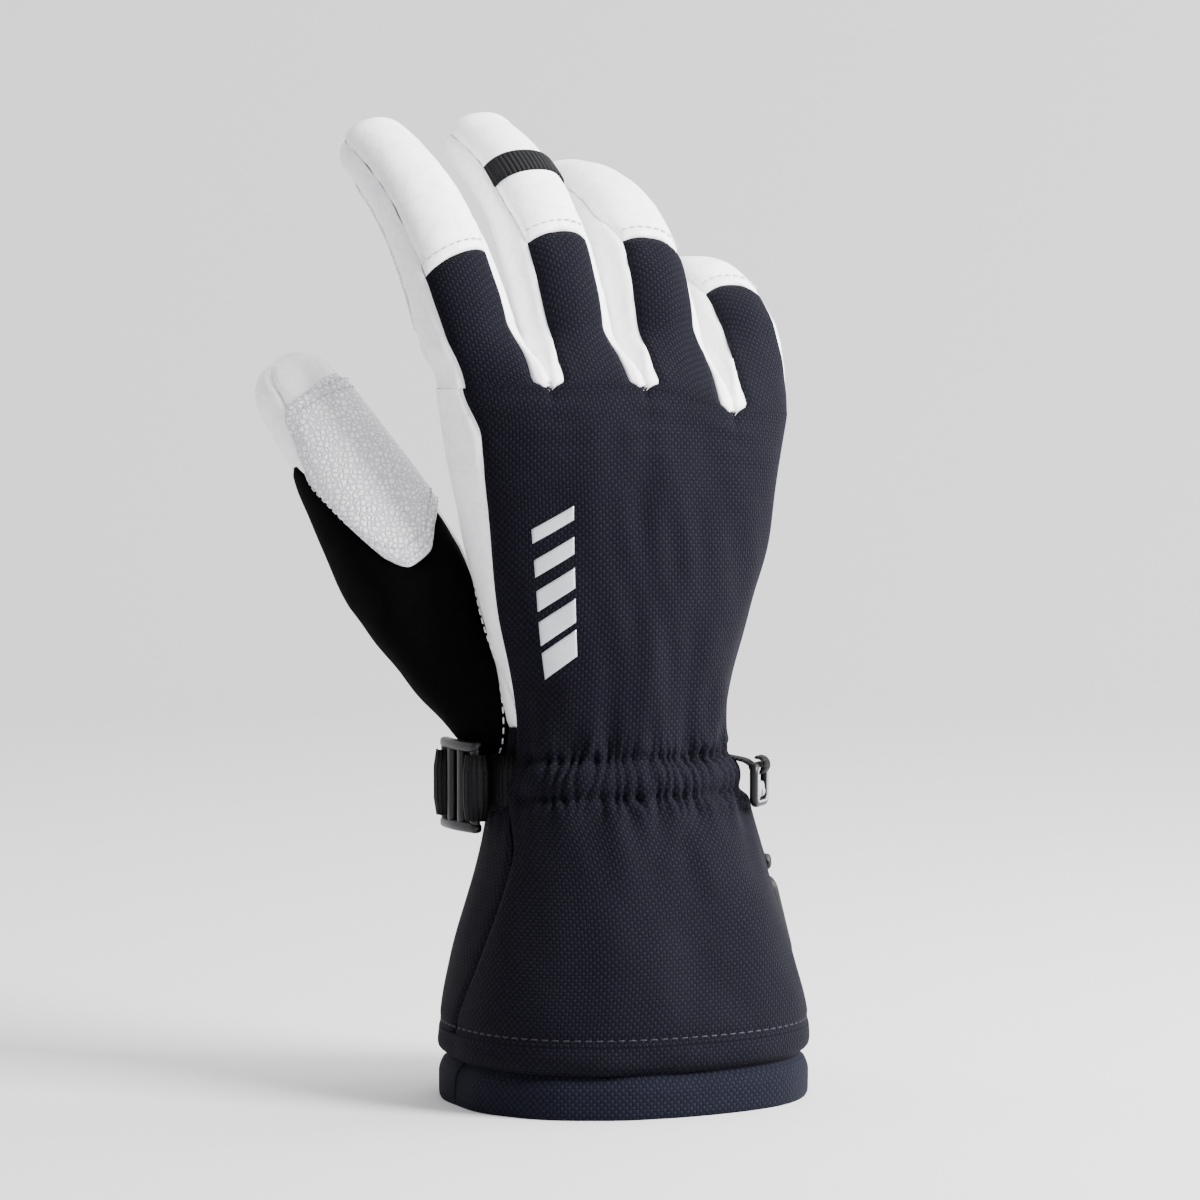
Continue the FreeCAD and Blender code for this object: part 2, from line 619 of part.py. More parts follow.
def add_clip():
    """The glove clip: a hanging frame with a window, the spring tongue in it, and its webbing loop."""
    inner_width = "(sizes.clip_width - 2 * sizes.clip_bar)"
    inner_height = "(sizes.clip_length - 2 * sizes.clip_bar)"
    top_bar = "sizes.clip_bar / 2"
    frame = moulded_plate(
        "clip_frame", "-sizes.clip_width / 2", f"{top_bar} - sizes.clip_length", "sizes.clip_width",
        "sizes.clip_length", "sizes.clip_wall",
    )
    window(frame, "clip_window", f"-{inner_width} / 2", f"-{top_bar} - {inner_height}", inner_width, inner_height)
    corner = clip_pivot() - CLIP_OUT * (size("clip_wall") / 2)
    place(frame, corner, CLIP_ALONG, Vector(0, 0, 1))
    wall, radius = size("clip_webbing_wall"), eye_radius(size("clip_bar"), size("clip_wall"))
    room = radius + wall + size("tongue_gap")
    tongue = moulded_plate(
        "clip_tongue", f"-{inner_width} / 2 + sizes.tongue_gap", f"-{top_bar} - {inner_height} + sizes.tongue_gap",
        f"{inner_width} - 2 * sizes.tongue_gap", f"{inner_height} + {top_bar} - sizes.tongue_gap - {room:.3f}",
        "sizes.clip_wall * 0.6",
    )
    place(tongue, clip_pivot() - CLIP_OUT * (size("clip_wall") * 0.3), CLIP_ALONG, Vector(0, 0, 1))
    half = (size("clip_width") - 2 * size("clip_bar")) / 2 - size("tongue_gap")
    start = clip_pivot() - CLIP_ALONG * half
    eye = Part.makeCylinder(radius + wall, 2 * half, start, CLIP_ALONG)
    eye = eye.cut(Part.makeCylinder(radius, 2 * half, start, CLIP_ALONG))
    tail = Part.makeBox(2 * half, wall, 9.0)
    tail.Placement = Placement(
        start - CLIP_OUT * (radius + wall), Rotation(CLIP_ALONG, CLIP_OUT, Vector(0, 0, 1), "XYZ"),
    )
    add("clip_webbing", eye.fuse(tail).removeSplitter())


def tab_hinge():
    """The pull tab's bending axis, on the little-finger side of the gauntlet."""
    section = arm_station(size("tab_top"))
    side = section.centre.x + section.half_width
    return Vector(side + size("tab_wall") / 2 + 1.6, -2.0, size("tab_top"))


def tab_down():
    """The direction in which the tab hangs, along the gauntlet's slope."""
    upper, lower = arm_station(size("tab_top")), arm_station(size("tab_top") - size("tab_length"))
    spread = lower.centre.x + lower.half_width - upper.centre.x - upper.half_width
    return Vector(spread, 0, -size("tab_length")).normalize()


def add_pull_tab():
    """The moulded pull tab of the gauntlet's drawcord, with a grip slot, and the anchor it hangs from."""
    body = moulded_plate(
        "pull_tab", "-sizes.tab_width / 2", "-sizes.tab_length", "sizes.tab_width", "sizes.tab_length",
        "sizes.tab_wall",
    )
    window(
        body, "tab_slot", "-sizes.tab_width / 2 + 2.7", "-sizes.tab_length + 3", "sizes.tab_width - 5.4",
        "sizes.tab_length * 0.45",
    )
    up = tab_down() * -1
    along = Vector(0, 1, 0)
    normal = along.cross(up)
    place(body, tab_hinge() - normal * (size("tab_wall") / 2), along, up)
    clear = size("tab_wall") / 2 + size("joint_gap")
    anchor_foot = tab_hinge() + Vector(-size("tab_wall") / 2 - 1.2, -size("tab_width") / 2, clear)
    anchor = Part.makeBox(size("tab_wall") + 0.6, size("tab_width"), 5.0, anchor_foot)
    shell = core(arm_stations(size("hem_rise") + size("hem_height"), size("gauntlet_top")), -size("layer_gap"))
    add("tab_anchor", anchor.cut(shell))


add_gauntlet()
add_wrist()
add_hand()
for finger_name in FINGERS:
    add_finger(finger_name)
add_finger_trim()
add_thumb()
add_strap()
add_buckle()
add_clip()
add_pull_tab()
doc.recompute()

# ---------------------------------------------------------------------------------------------------------
# checks and export
# ---------------------------------------------------------------------------------------------------------
for item in doc.Objects:
    if "Invalid" in item.State or "Error" in item.State:
        raise RuntimeError(f"{item.Label} failed: {item.State}")
for part in parts:
    if part.Shape.isNull() or not part.Shape.isValid():
        raise RuntimeError(f"{part.Label} has no valid shape")
os.makedirs("parts", exist_ok=True)
for part in parts:
    part.Shape.exportStep(f"parts/{part.Label}.step")
    print(f"{part.Label}: {len(part.Shape.Solids)} solid, {part.Shape.Volume:.0f} cubic mm")
print(len(parts), "sub-parts")
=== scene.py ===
"""Looks of an insulated ski glove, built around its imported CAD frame.

Lengths inside the classes are in millimetres, and a mesh is turned to metres when it is made.
"""

import logging
import math
from dataclasses import dataclass
from enum import Enum
from typing import Callable, Sequence

import bpy
import numpy as np
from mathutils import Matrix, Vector


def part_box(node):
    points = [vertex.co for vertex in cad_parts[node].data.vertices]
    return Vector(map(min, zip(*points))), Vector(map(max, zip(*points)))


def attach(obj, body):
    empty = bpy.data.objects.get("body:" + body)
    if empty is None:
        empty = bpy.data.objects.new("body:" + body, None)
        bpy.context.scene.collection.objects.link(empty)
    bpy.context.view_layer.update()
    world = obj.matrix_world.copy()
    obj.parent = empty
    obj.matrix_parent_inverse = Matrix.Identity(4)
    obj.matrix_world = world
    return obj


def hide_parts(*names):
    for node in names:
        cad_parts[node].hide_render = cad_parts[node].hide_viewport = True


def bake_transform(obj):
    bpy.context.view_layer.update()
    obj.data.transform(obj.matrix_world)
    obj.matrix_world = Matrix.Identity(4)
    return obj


Array = np.ndarray
Knots = Sequence[tuple[float, float]]
Edge = Callable[[Array], Array]
Surface = Callable[[Array, Array], Array]

LOG = logging.getLogger("ski_glove")
MM = 0.001

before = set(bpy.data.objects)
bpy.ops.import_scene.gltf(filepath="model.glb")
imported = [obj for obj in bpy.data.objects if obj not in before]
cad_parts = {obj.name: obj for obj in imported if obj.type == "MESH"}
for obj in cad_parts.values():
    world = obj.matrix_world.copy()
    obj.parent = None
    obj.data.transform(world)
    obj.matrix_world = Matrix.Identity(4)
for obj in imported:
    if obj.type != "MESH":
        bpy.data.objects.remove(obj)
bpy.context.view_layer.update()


# --------------------------------------------------------------------------------------------------
# curves and ripples
# --------------------------------------------------------------------------------------------------
def curve(x: Array | float, knots: Knots) -> Array:
    """A smooth curve through its knots that never swings past them: cubic pieces with limited slopes.

    Args:
        x: Where to read the curve; it is held level beyond its ends.
        knots: Rising places with their values.

    Returns:
        The curve's values at x.
    """
    xs, ys = np.array(knots, float).T
    rise = np.diff(ys) / np.diff(xs)
    slope = np.zeros(len(xs))
    both = rise[:-1] * rise[1:]
    total = np.where(both > 0, rise[:-1] + rise[1:], 1.0)
    slope[1:-1] = np.where(both > 0, 2 * both / total, 0.0)
    slope[0], slope[-1] = rise[0], rise[-1]
    x = np.clip(np.asarray(x, float), xs[0], xs[-1])
    i = np.clip(np.searchsorted(xs, x, side="right") - 1, 0, len(xs) - 2)
    h = xs[i + 1] - xs[i]
    t = (x - xs[i]) / h
    ends = ys[i] * (1 + 2 * t) * (1 - t) ** 2 + ys[i + 1] * t * t * (3 - 2 * t)
    return ends + h * t * (1 - t) * (slope[i] * (1 - t) - slope[i + 1] * t)


def smooth(share: Array) -> Array:
    """Eases from 0 to 1: three squares less two cubes of the share, held at both ends."""
    share = np.clip(share, 0.0, 1.0)
    return share * share * (3 - 2 * share)


def bell(x: Array, middle: float, width: float) -> Array:
    """A bell curve of height 1, e to the minus square of the distance over the width."""
    return np.exp(-(((x - middle) / width) ** 2))


def ripples(a: Array, b: Array, size: float, seed: int) -> Array:
    """Gentle unevenness, the sum of nine plane sine waves of about one length in seeded directions.

    Args:
        a: Distance one way over the surface.
        b: Distance the other way.
        size: Length of the waves.
        seed: Number that fixes directions, lengths and phases.

    Returns:
        Values mostly between -1 and 1.
    """
    dice = np.random.default_rng(seed)
    turn, stretch = dice.uniform(0, math.tau, 9), dice.uniform(0.65, 1.5, 9)
    phase = dice.uniform(0, math.tau, 9)
    along = a[..., None] * np.cos(turn) + b[..., None] * np.sin(turn)
    return np.sin(along * math.tau / (size * stretch) + phase).sum(-1) / 3.6


def unit(vectors: Array) -> Array:
    """The vectors divided by their lengths."""
    return vectors / np.maximum(np.linalg.norm(vectors, axis=-1, keepdims=True), 1e-9)


def superellipse(angle: Array, wide: Array, deep: Array, power: float) -> tuple[Array, Array]:
    """A point of a rounded box outline, by its polar angle from the wide axis.

    Args:
        angle: Polar angle in radians.
        wide: Half size along the first axis.
        deep: Half size along the second axis.
        power: Squareness; 2 is an ellipse.

    Returns:
        The two coordinates: the ray cut where |x/wide|^power + |y/deep|^power is 1.
    """
    c, s = np.cos(angle), np.sin(angle)
    reach = (np.abs(c / wide) ** power + np.abs(s / deep) ** power) ** (-1 / power)
    return reach * c, reach * s


# --------------------------------------------------------------------------------------------------
# materials
# --------------------------------------------------------------------------------------------------
def linear(colour: str, alpha: float = 1.0) -> tuple[float, float, float, float]:
    """Turns an sRGB hex colour such as "1B1E2D" into linear numbers for a shader."""
    parts = [int(colour[i : i + 2], 16) / 255 for i in (0, 2, 4)]
    red, green, blue = (p / 12.92 if p <= 0.04045 else ((p + 0.055) / 1.055) ** 2.4 for p in parts)
    return red, green, blue, alpha


def add_node(tree: bpy.types.NodeTree, kind: str, inputs: dict | None = None, **settings) -> bpy.types.Node:
    """Adds one shader node.

    Args:
        tree: The material's node tree.
        kind: The node's type name, without "ShaderNode".
        inputs: Values or output sockets by input name or number.
        settings: The node's own properties.

    Returns:
        The new node, set and linked.
    """
    made = tree.nodes.new(f"ShaderNode{kind}")
    for name, value in settings.items():
        setattr(made, name, value)
    for key, value in (inputs or {}).items():
        if isinstance(value, bpy.types.NodeSocket):
            tree.links.new(value, made.inputs[key])
        else:
            made.inputs[key].default_value = value
    return made


class Coordinates(Enum):
    """Which coordinates a finish's pattern follows: the piece's own flat cut, or the object's space."""

    CUT = "UV"
    SPACE = "Object"


@dataclass(frozen=True)
class Finish:
    """What every finish has: a slot name, base colour, gloss and small unevenness."""

    slot: str
    name: str
    colour: str
    roughness: float
    coordinates: Coordinates = Coordinates.CUT

    def material(self) -> bpy.types.Material:
        """The finish's material, made at its first use.

        Returns:
            The shared material.
        """
        made = bpy.data.materials.get(self.name)
        if made is None:
            made = bpy.data.materials.new(self.name)
            made.use_nodes = True
            made.diffuse_color = linear(self.colour)
            tree = made.node_tree
            shader = tree.nodes["Principled BSDF"]
            shader.inputs["Roughness"].default_value = self.roughness
            shader.inputs["Base Color"].default_value = linear(self.colour)
            where = add_node(tree, "TexCoord").outputs[self.coordinates.value]
            self.dress(tree, shader, where)
        return made

    def dress(self, tree: bpy.types.NodeTree, shader: bpy.types.Node, where: bpy.types.NodeSocket) -> None:
        """Adds the finish's own pattern; each kind of finish has its own.

        Args:
            tree: The material's node tree.
            shader: Its Principled shader.
            where: Coordinates of the pattern, in metres.
        """
        raise NotImplementedError

    def cover(
        self, tree: bpy.types.NodeTree, shader: bpy.types.Node, share: bpy.types.NodeSocket, shades: tuple[str, str],
        height: bpy.types.NodeSocket, depth: float,
    ) -> None:
        """Gives the surface its colour between two shades, and its relief.

        Args:
            tree: The material's node tree.
            shader: The shader that is fed.
            share: From 0 for the first shade to 1 for the second.
            shades: The two as sRGB hex colours.
            height: The relief from 0 to 1.
            depth: Depth of the relief in millimetres.
        """
        inputs = {0: share, 6: linear(shades[0]), 7: linear(shades[1])}
        mixed = add_node(tree, "Mix", inputs, data_type="RGBA")
        tree.links.new(mixed.outputs[2], shader.inputs["Base Color"])
        raised = add_node(tree, "Bump", {"Height": height, "Strength": 1.0, "Distance": depth * MM})
        tree.links.new(raised.outputs["Normal"], shader.inputs["Normal"])


@dataclass(frozen=True)
class WovenNylon(Finish):
    """Nylon Oxford cloth, plain woven of thick matt yarn: each crossing shows as a small pillow."""

    pitch: float = 1.0
    # lighter colour reached on the pillow tops; towards the gaps between yarns the colour falls to the base colour as
    # painted shade
    light: str = "1A1A27"
    relief: float = 0.2
    sheen: float = 0.012

    def dress(self, tree: bpy.types.NodeTree, shader: bpy.types.Node, where: bpy.types.NodeSocket) -> None:
        """Pillow height is |sin x|^0.5 times |sin y|^0.5 of the thread count; over and under differ in colour, and the
        colour also follows the pillow height as painted shade, darker in the gaps between yarns.
        """
        scaled = add_node(tree, "Mapping", {"Vector": where, "Scale": (math.pi / (self.pitch * MM),) * 3})
        split = add_node(tree, "SeparateXYZ", {0: scaled.outputs[0]})
        warp = add_node(tree, "Math", {0: split.outputs["X"]}, operation="SINE").outputs[0]
        weft = add_node(tree, "Math", {0: split.outputs["Y"]}, operation="SINE").outputs[0]
        both = add_node(tree, "Math", {0: warp, 1: weft}, operation="MULTIPLY").outputs[0]
        size = add_node(tree, "Math", {0: both}, operation="ABSOLUTE").outputs[0]
        pillow = add_node(tree, "Math", {0: size, 1: 0.5}, operation="POWER").outputs[0]
        over = add_node(tree, "Math", {0: both, 1: 4.0, 2: 0.5}, operation="MULTIPLY_ADD", use_clamp=True)
        cloud = add_node(tree, "TexNoise", {"Vector": where, "Scale": 90.0, "Detail": 3.0})
        patchy = add_node(tree, "Math", {0: cloud.outputs["Fac"], 1: 0.5, 2: 0.25}, operation="MULTIPLY_ADD")
        # painted shade: the colour share is the pillow height, so the gaps between yarns are painted darker; the over
        # and under colours and the patchy noise are the cloth's own tone
        lit = add_node(tree, "Math", {0: pillow, 1: over.outputs[0]}, operation="MULTIPLY").outputs[0]
        share = add_node(tree, "Math", {0: lit, 1: patchy.outputs[0]}, operation="MULTIPLY").outputs[0]
        tall = add_node(tree, "Math", {0: over.outputs[0], 1: 0.45, 2: 0.55}, operation="MULTIPLY_ADD")
        height = add_node(tree, "Math", {0: pillow, 1: tall.outputs[0]}, operation="MULTIPLY").outputs[0]
        self.cover(tree, shader, share, (self.colour, self.light), height, self.relief)
        shader.inputs["Sheen Weight"].default_value = self.sheen
        shader.inputs["Sheen Roughness"].default_value = 0.5
        shader.inputs["Specular IOR Level"].default_value = 0.05


@dataclass(frozen=True)
class GoatLeather(Finish):
    """Smooth drum-dyed goatskin: fine grain just under a millimetre wide, soft gloss, fine creases with painted grey
    shade in them.
    """

    grain: float = 0.9
    relief: float = 0.05
    # painted shade colour, reached along the crease lines
    shade: str = "E4E5EA"
    crease_width: float = 9.0

    def dress(self, tree: bpy.types.NodeTree, shader: bpy.types.Node, where: bpy.types.NodeSocket) -> None:
        """Cells make the grain, and stretched noise the fine creases; both lower the surface, and the creases also
        darken the colour as painted shade.
        """
        cells = add_node(tree, "TexVoronoi", {"Vector": where, "Scale": 1 / (self.grain * MM)}, feature="F1")
        warped = add_node(tree, "TexNoise", {"Vector": where, "Scale": 1000 / self.crease_width, "Detail": 5.0})
        warped.inputs["Distortion"].default_value = 0.6
        crease = add_node(tree, "Math", {0: warped.outputs["Fac"], 1: 0.5}, operation="SUBTRACT").outputs[0]
        narrow = add_node(tree, "Math", {0: crease}, operation="ABSOLUTE").outputs[0]
        edge = add_node(tree, "Math", {0: narrow, 1: 22.0}, operation="MULTIPLY", use_clamp=True).outputs[0]
        round_cell = add_node(tree, "Math", {0: 1.0, 1: cells.outputs["Distance"]}, operation="SUBTRACT").outputs[0]
        # painted shade: the colour darkens towards each crease line
        light = add_node(tree, "Math", {0: edge, 1: 0.55, 2: 0.45}, operation="MULTIPLY_ADD").outputs[0]
        height = add_node(tree, "Math", {0: edge, 1: 0.5}, operation="MULTIPLY").outputs[0]
        total = add_node(tree, "Math", {0: round_cell, 1: 0.6, 2: height}, operation="MULTIPLY_ADD").outputs[0]
        self.cover(tree, shader, light, (self.shade, self.colour), total, self.relief)
        shader.inputs["Coat Weight"].default_value = 0.08
        shader.inputs["Coat Roughness"].default_value = 0.35
        shader.inputs["Subsurface Weight"].default_value = 0.06
        shader.inputs["Subsurface Radius"].default_value = (0.0012, 0.001, 0.0009)


@dataclass(frozen=True)
class PebbledLeather(Finish):
    """Embossed grip leather: raised round pebbles about 1.5 mm apart with painted shade in the lows between them."""

    pebble: float = 1.5
    relief: float = 0.3
    # painted shade colour of the channels between the pebbles
    shade: str = "C4C5CC"

    def dress(self, tree: bpy.types.NodeTree, shader: bpy.types.Node, where: bpy.types.NodeSocket) -> None:
        """The distance to the cells' borders lifts each pebble and paints shade into the channels between them."""
        cells = add_node(
            tree, "TexVoronoi", {"Vector": where, "Scale": 1 / (self.pebble * MM), "Randomness": 0.75},
            feature="DISTANCE_TO_EDGE",
        )
        raised = add_node(tree, "Math", {0: cells.outputs["Distance"], 1: 4.0}, operation="MULTIPLY", use_clamp=True)
        # painted shade: the channels take the darker colour as they sink
        self.cover(tree, shader, raised.outputs[0], (self.shade, self.colour), raised.outputs[0], self.relief)
        shader.inputs["Coat Weight"].default_value = 0.1
        shader.inputs["Coat Roughness"].default_value = 0.4


@dataclass(frozen=True)
class Softshell(Finish):
    """Black softshell knit with a brushed face: very matt, with short soft nap that catches a faint edge light."""

    light: str = "060607"
    knit: float = 0.8

    def dress(self, tree: bpy.types.NodeTree, shader: bpy.types.Node, where: bpy.types.NodeSocket) -> None:
        """Fine noise gives the nap its colour and height."""
        nap = add_node(tree, "TexNoise", {"Vector": where, "Scale": 1 / (self.knit * MM), "Detail": 4.0})
        self.cover(tree, shader, nap.outputs["Fac"], (self.colour, self.light), nap.outputs["Fac"], 0.12)
        shader.inputs["Specular IOR Level"].default_value = 0.03


@dataclass(frozen=True)
class Webbing(Finish):
    """Polyester webbing, woven with ribs straight across about 1.3 mm apart: satin, with painted shade in the grooves.
    """

    rib: float = 1.3
    # colour of the rib tops; the grooves fall to the darker base colour as painted shade
    light: str = "131315"

    def dress(self, tree: bpy.types.NodeTree, shader: bpy.types.Node, where: bpy.types.NodeSocket) -> None:
        """Ribs are |sin| of the length, crossed by a finer and fainter |sin| of the width; the colour follows that
        height, so the grooves are painted darker as shade.
        """
        scaled = add_node(tree, "Mapping", {"Vector": where, "Scale": (math.pi / (self.rib * MM),) * 3})
        split = add_node(tree, "SeparateXYZ", {0: scaled.outputs[0]})
        along = add_node(tree, "Math", {0: split.outputs["X"]}, operation="SINE").outputs[0]
        rib = add_node(tree, "Math", {0: along}, operation="ABSOLUTE").outputs[0]
        fine = add_node(tree, "Math", {0: split.outputs["Y"], 1: 2.2}, operation="MULTIPLY").outputs[0]
        across = add_node(tree, "Math", {0: fine}, operation="SINE").outputs[0]
        thread = add_node(tree, "Math", {0: across}, operation="ABSOLUTE").outputs[0]
        height = add_node(tree, "Math", {0: thread, 1: 0.3, 2: rib}, operation="MULTIPLY_ADD").outputs[0]
        # painted shade: the colour share is the rib height, darker in the grooves
        self.cover(tree, shader, height, (self.colour, self.light), height, 0.3)
        shader.inputs["Specular IOR Level"].default_value = 0.08


@dataclass(frozen=True)
class MouldedPlastic(Finish):
    """Injection-moulded acetal or rubber: even colour with a fine spark-eroded grain and slightly worn gloss."""

    grain: float = 0.35
    light: str = "0C0C0E"

    def dress(self, tree: bpy.types.NodeTree, shader: bpy.types.Node, where: bpy.types.NodeSocket) -> None:
        """Fine noise roughens the face, and a wide one varies the gloss as handling does."""
        fine = add_node(tree, "TexNoise", {"Vector": where, "Scale": 1 / (self.grain * MM), "Detail": 2.0})
        wide = add_node(tree, "TexNoise", {"Vector": where, "Scale": 160.0, "Detail": 3.0})
        gloss = add_node(
            tree, "MapRange",
            {"Value": wide.outputs["Fac"], "To Min": self.roughness - 0.06, "To Max": self.roughness + 0.1},
        )
        tree.links.new(gloss.outputs[0], shader.inputs["Roughness"])
        self.cover(tree, shader, wide.outputs["Fac"], (self.colour, self.light), fine.outputs["Fac"], 0.03)
        shader.inputs["Specular IOR Level"].default_value = 0.3


@dataclass(frozen=True)
class ReflectiveFilm(Finish):
    """Heat-pressed reflective film full of glass beads: silver-grey, bright face-on, with a fine sparkle."""

    bead: float = 0.3

    def dress(self, tree: bpy.types.NodeTree, shader: bpy.types.Node, where: bpy.types.NodeSocket) -> None:
        """Bead cells vary the grey a little and break up the gloss."""
        beads = add_node(tree, "TexVoronoi", {"Vector": where, "Scale": 1 / (self.bead * MM)})
        spark = beads.outputs["Distance"]
        self.cover(tree, shader, spark, (self.colour, "A9ACB2"), spark, 0.03)
        shader.inputs["Metallic"].default_value = 0.35


@dataclass(frozen=True)
class Fleece(Finish):
    """Brushed polyester fleece: loops and pile clumps a millimetre or two wide, fully matt with strong sheen."""

    clump: float = 1.8
    light: str = "3B3B40"

    def dress(self, tree: bpy.types.NodeTree, shader: bpy.types.Node, where: bpy.types.NodeSocket) -> None:
        """Noise at clump size sets both the colour and the height of the pile."""
        pile = add_node(tree, "TexNoise", {"Vector": where, "Scale": 1 / (self.clump * MM), "Detail": 6.0})
        self.cover(tree, shader, pile.outputs["Fac"], (self.colour, self.light), pile.outputs["Fac"], 0.8)
        shader.inputs["Sheen Weight"].default_value = 0.5


@dataclass(frozen=True)
class Thread(Finish):
    """Bonded polyester sewing thread, three plies twisted together, with a slight lustre."""

    light: str = "FFFFFF"

    def dress(self, tree: bpy.types.NodeTree, shader: bpy.types.Node, where: bpy.types.NodeSocket) -> None:
        """Slanted bands stand for the twist of the plies."""
        inputs = {"Vector": where, "Scale": 900.0, "Distortion": 1.0}
        twist = add_node(tree, "TexWave", inputs, bands_direction="DIAGONAL")
        self.cover(tree, shader, twist.outputs["Fac"], (self.colour, self.light), twist.outputs["Fac"], 0.05)


@dataclass(frozen=True)
class StudioPaper(Finish):
    """Matt paper sweep of a studio, a plain pale grey with hardly any texture."""

    glow: float = 0.2

    def dress(self, tree: bpy.types.NodeTree, shader: bpy.types.Node, where: bpy.types.NodeSocket) -> None:
        """Very faint mottling keeps the paper from looking drawn, and a little glow stands for the lit studio."""
        fibre = add_node(tree, "TexNoise", {"Vector": where, "Scale": 220.0, "Detail": 3.0})
        raised = add_node(tree, "Bump", {"Height": fibre.outputs["Fac"], "Strength": 0.3, "Distance": 0.02 * MM})
        tree.links.new(raised.outputs["Normal"], shader.inputs["Normal"])
        shader.inputs["Emission Color"].default_value = linear(self.colour)
        shader.inputs["Emission Strength"].default_value = self.glow


NAVY = WovenNylon("navy_fabric", "nylon_oxford_navy", "08080E", 0.78)
CUFF = WovenNylon("cuff_fabric", "nylon_taslan_cuff", "0D0E16", 0.78, light="202232")
WHITE = GoatLeather("white_leather", "goat_leather_white", "F9F9FA", 0.46, Coordinates.SPACE)
GRAINED = PebbledLeather("grained_leather", "embossed_grip_leather", "FAFAFB", 0.42, Coordinates.SPACE)
BLACK_SHELL = Softshell("black_softshell", "softshell_knit_black", "020202", 0.9)
FLEECE = Fleece("lining_fleece", "polyester_fleece_grey", "242428", 0.95)
ELASTIC = Webbing("elastic_tape", "knitted_elastic_tape", "141416", 0.7, rib=0.9)
STRAP = Webbing("black_webbing", "polyester_webbing_black", "040405", 0.6)
FILM = ReflectiveFilm("reflective_film", "glass_bead_film_silver", "C3C6CB", 0.4)
ACETAL = MouldedPlastic("black_plastic", "acetal_moulded_black", "050506", 0.38, Coordinates.SPACE)
GREY_ACETAL = MouldedPlastic("grey_plastic", "acetal_moulded_grey", "85878B", 0.38, Coordinates.SPACE, light="9A9CA0")
RUBBER = MouldedPlastic("dark_rubber", "thermoplastic_rubber", "070708", 0.55, Coordinates.SPACE)
# thread for the stitches on white leather, painted grey: the grey is painted shade standing for the shadow in and round
# each stitch
SHADE_PAINTED_THREAD = Thread("white_leather", "sewing_thread_painted_shade", "A9ABB3", 0.5, Coordinates.SPACE, light="C4C6CC")
WHITE_THREAD = Thread("white_leather", "sewing_thread_white", "D9DADF", 0.5, Coordinates.SPACE)
NAVY_THREAD = Thread("navy_fabric", "sewing_thread_navy", "06070C", 0.7, Coordinates.SPACE, light="12141F")
PAPER = StudioPaper("none", "studio_paper", "C9C8CA", 0.95, Coordinates.SPACE)


# --------------------------------------------------------------------------------------------------
# meshes
# --------------------------------------------------------------------------------------------------
def grid_faces(across: int, along: int, closed: bool = False) -> Array:
    """The four-cornered faces of a grid of points, one outward turn each.

    Args:
        across: Points in the first direction.
        along: Points in the second direction.
        closed: Whether the first direction closes on itself.

    Returns:
        Rows of four vertex numbers.
    """
    numbers = np.arange(across * along).reshape(across, along)
    if closed:
        numbers = np.concatenate([numbers, numbers[:1]])
    corners = numbers[:-1, :-1], numbers[1:, :-1], numbers[1:, 1:], numbers[:-1, 1:]
    return np.stack(corners, -1).reshape(-1, 4)


def make_piece(name: str, points: Array, faces: Array, finish: Finish, cut: Array | None = None) -> bpy.types.Object:
    """Turns points and faces into a smooth-shaded object at the origin.

    Args:
        name: The piece's name.
        points: Its vertices in millimetres, one row each.
        faces: Rows of four vertex numbers.
        finish: What it is made of.
        cut: Each vertex's place on the flat cut, in millimetres, for the UV map.

    Returns:
        The object.
    """
    mesh = bpy.data.meshes.new(name)
    mesh.vertices.add(len(points))
    mesh.vertices.foreach_set("co", (points * MM).astype(np.float32).ravel())
    mesh.loops.add(faces.size)
    mesh.loops.foreach_set("vertex_index", faces.astype(np.int32).ravel())
    mesh.polygons.add(len(faces))
    mesh.polygons.foreach_set("loop_start", np.arange(0, faces.size, 4, dtype=np.int32))
    if cut is not None:
        layer = mesh.uv_layers.new(name="flat_cut")
        layer.data.foreach_set("uv", (cut[faces.ravel()] * MM).astype(np.float32).ravel())
    mesh.update(calc_edges=True)
    mesh.validate()
    mesh.polygons.foreach_set("use_smooth", np.ones(len(mesh.polygons), bool))
    mesh.materials.append(finish.material())
    made = bpy.data.objects.new(name, mesh)
    bpy.context.scene.collection.objects.link(made)
    LOG.info("%s: %d faces of %s", name, len(faces), finish.name)
    return made


def thicken(piece: bpy.types.Object, wall: float, rim: bool = True) -> None:
    """Gives a sheet a wall inwards from its outer face.

    Args:
        piece: The sheet.
        wall: The wall in millimetres.
        rim: Whether the cut edge is closed; cloth that runs on into the next piece has none.
    """
    solid = piece.modifiers.new("wall", "SOLIDIFY")
    solid.thickness, solid.offset, solid.use_rim = wall * MM, -1.0, rim


class Side(Enum):
    """The four edges of a cut panel."""

    LEFT = 0
    RIGHT = 1
    LOW = 2
    HIGH = 3


ALL_SIDES = frozenset(Side)


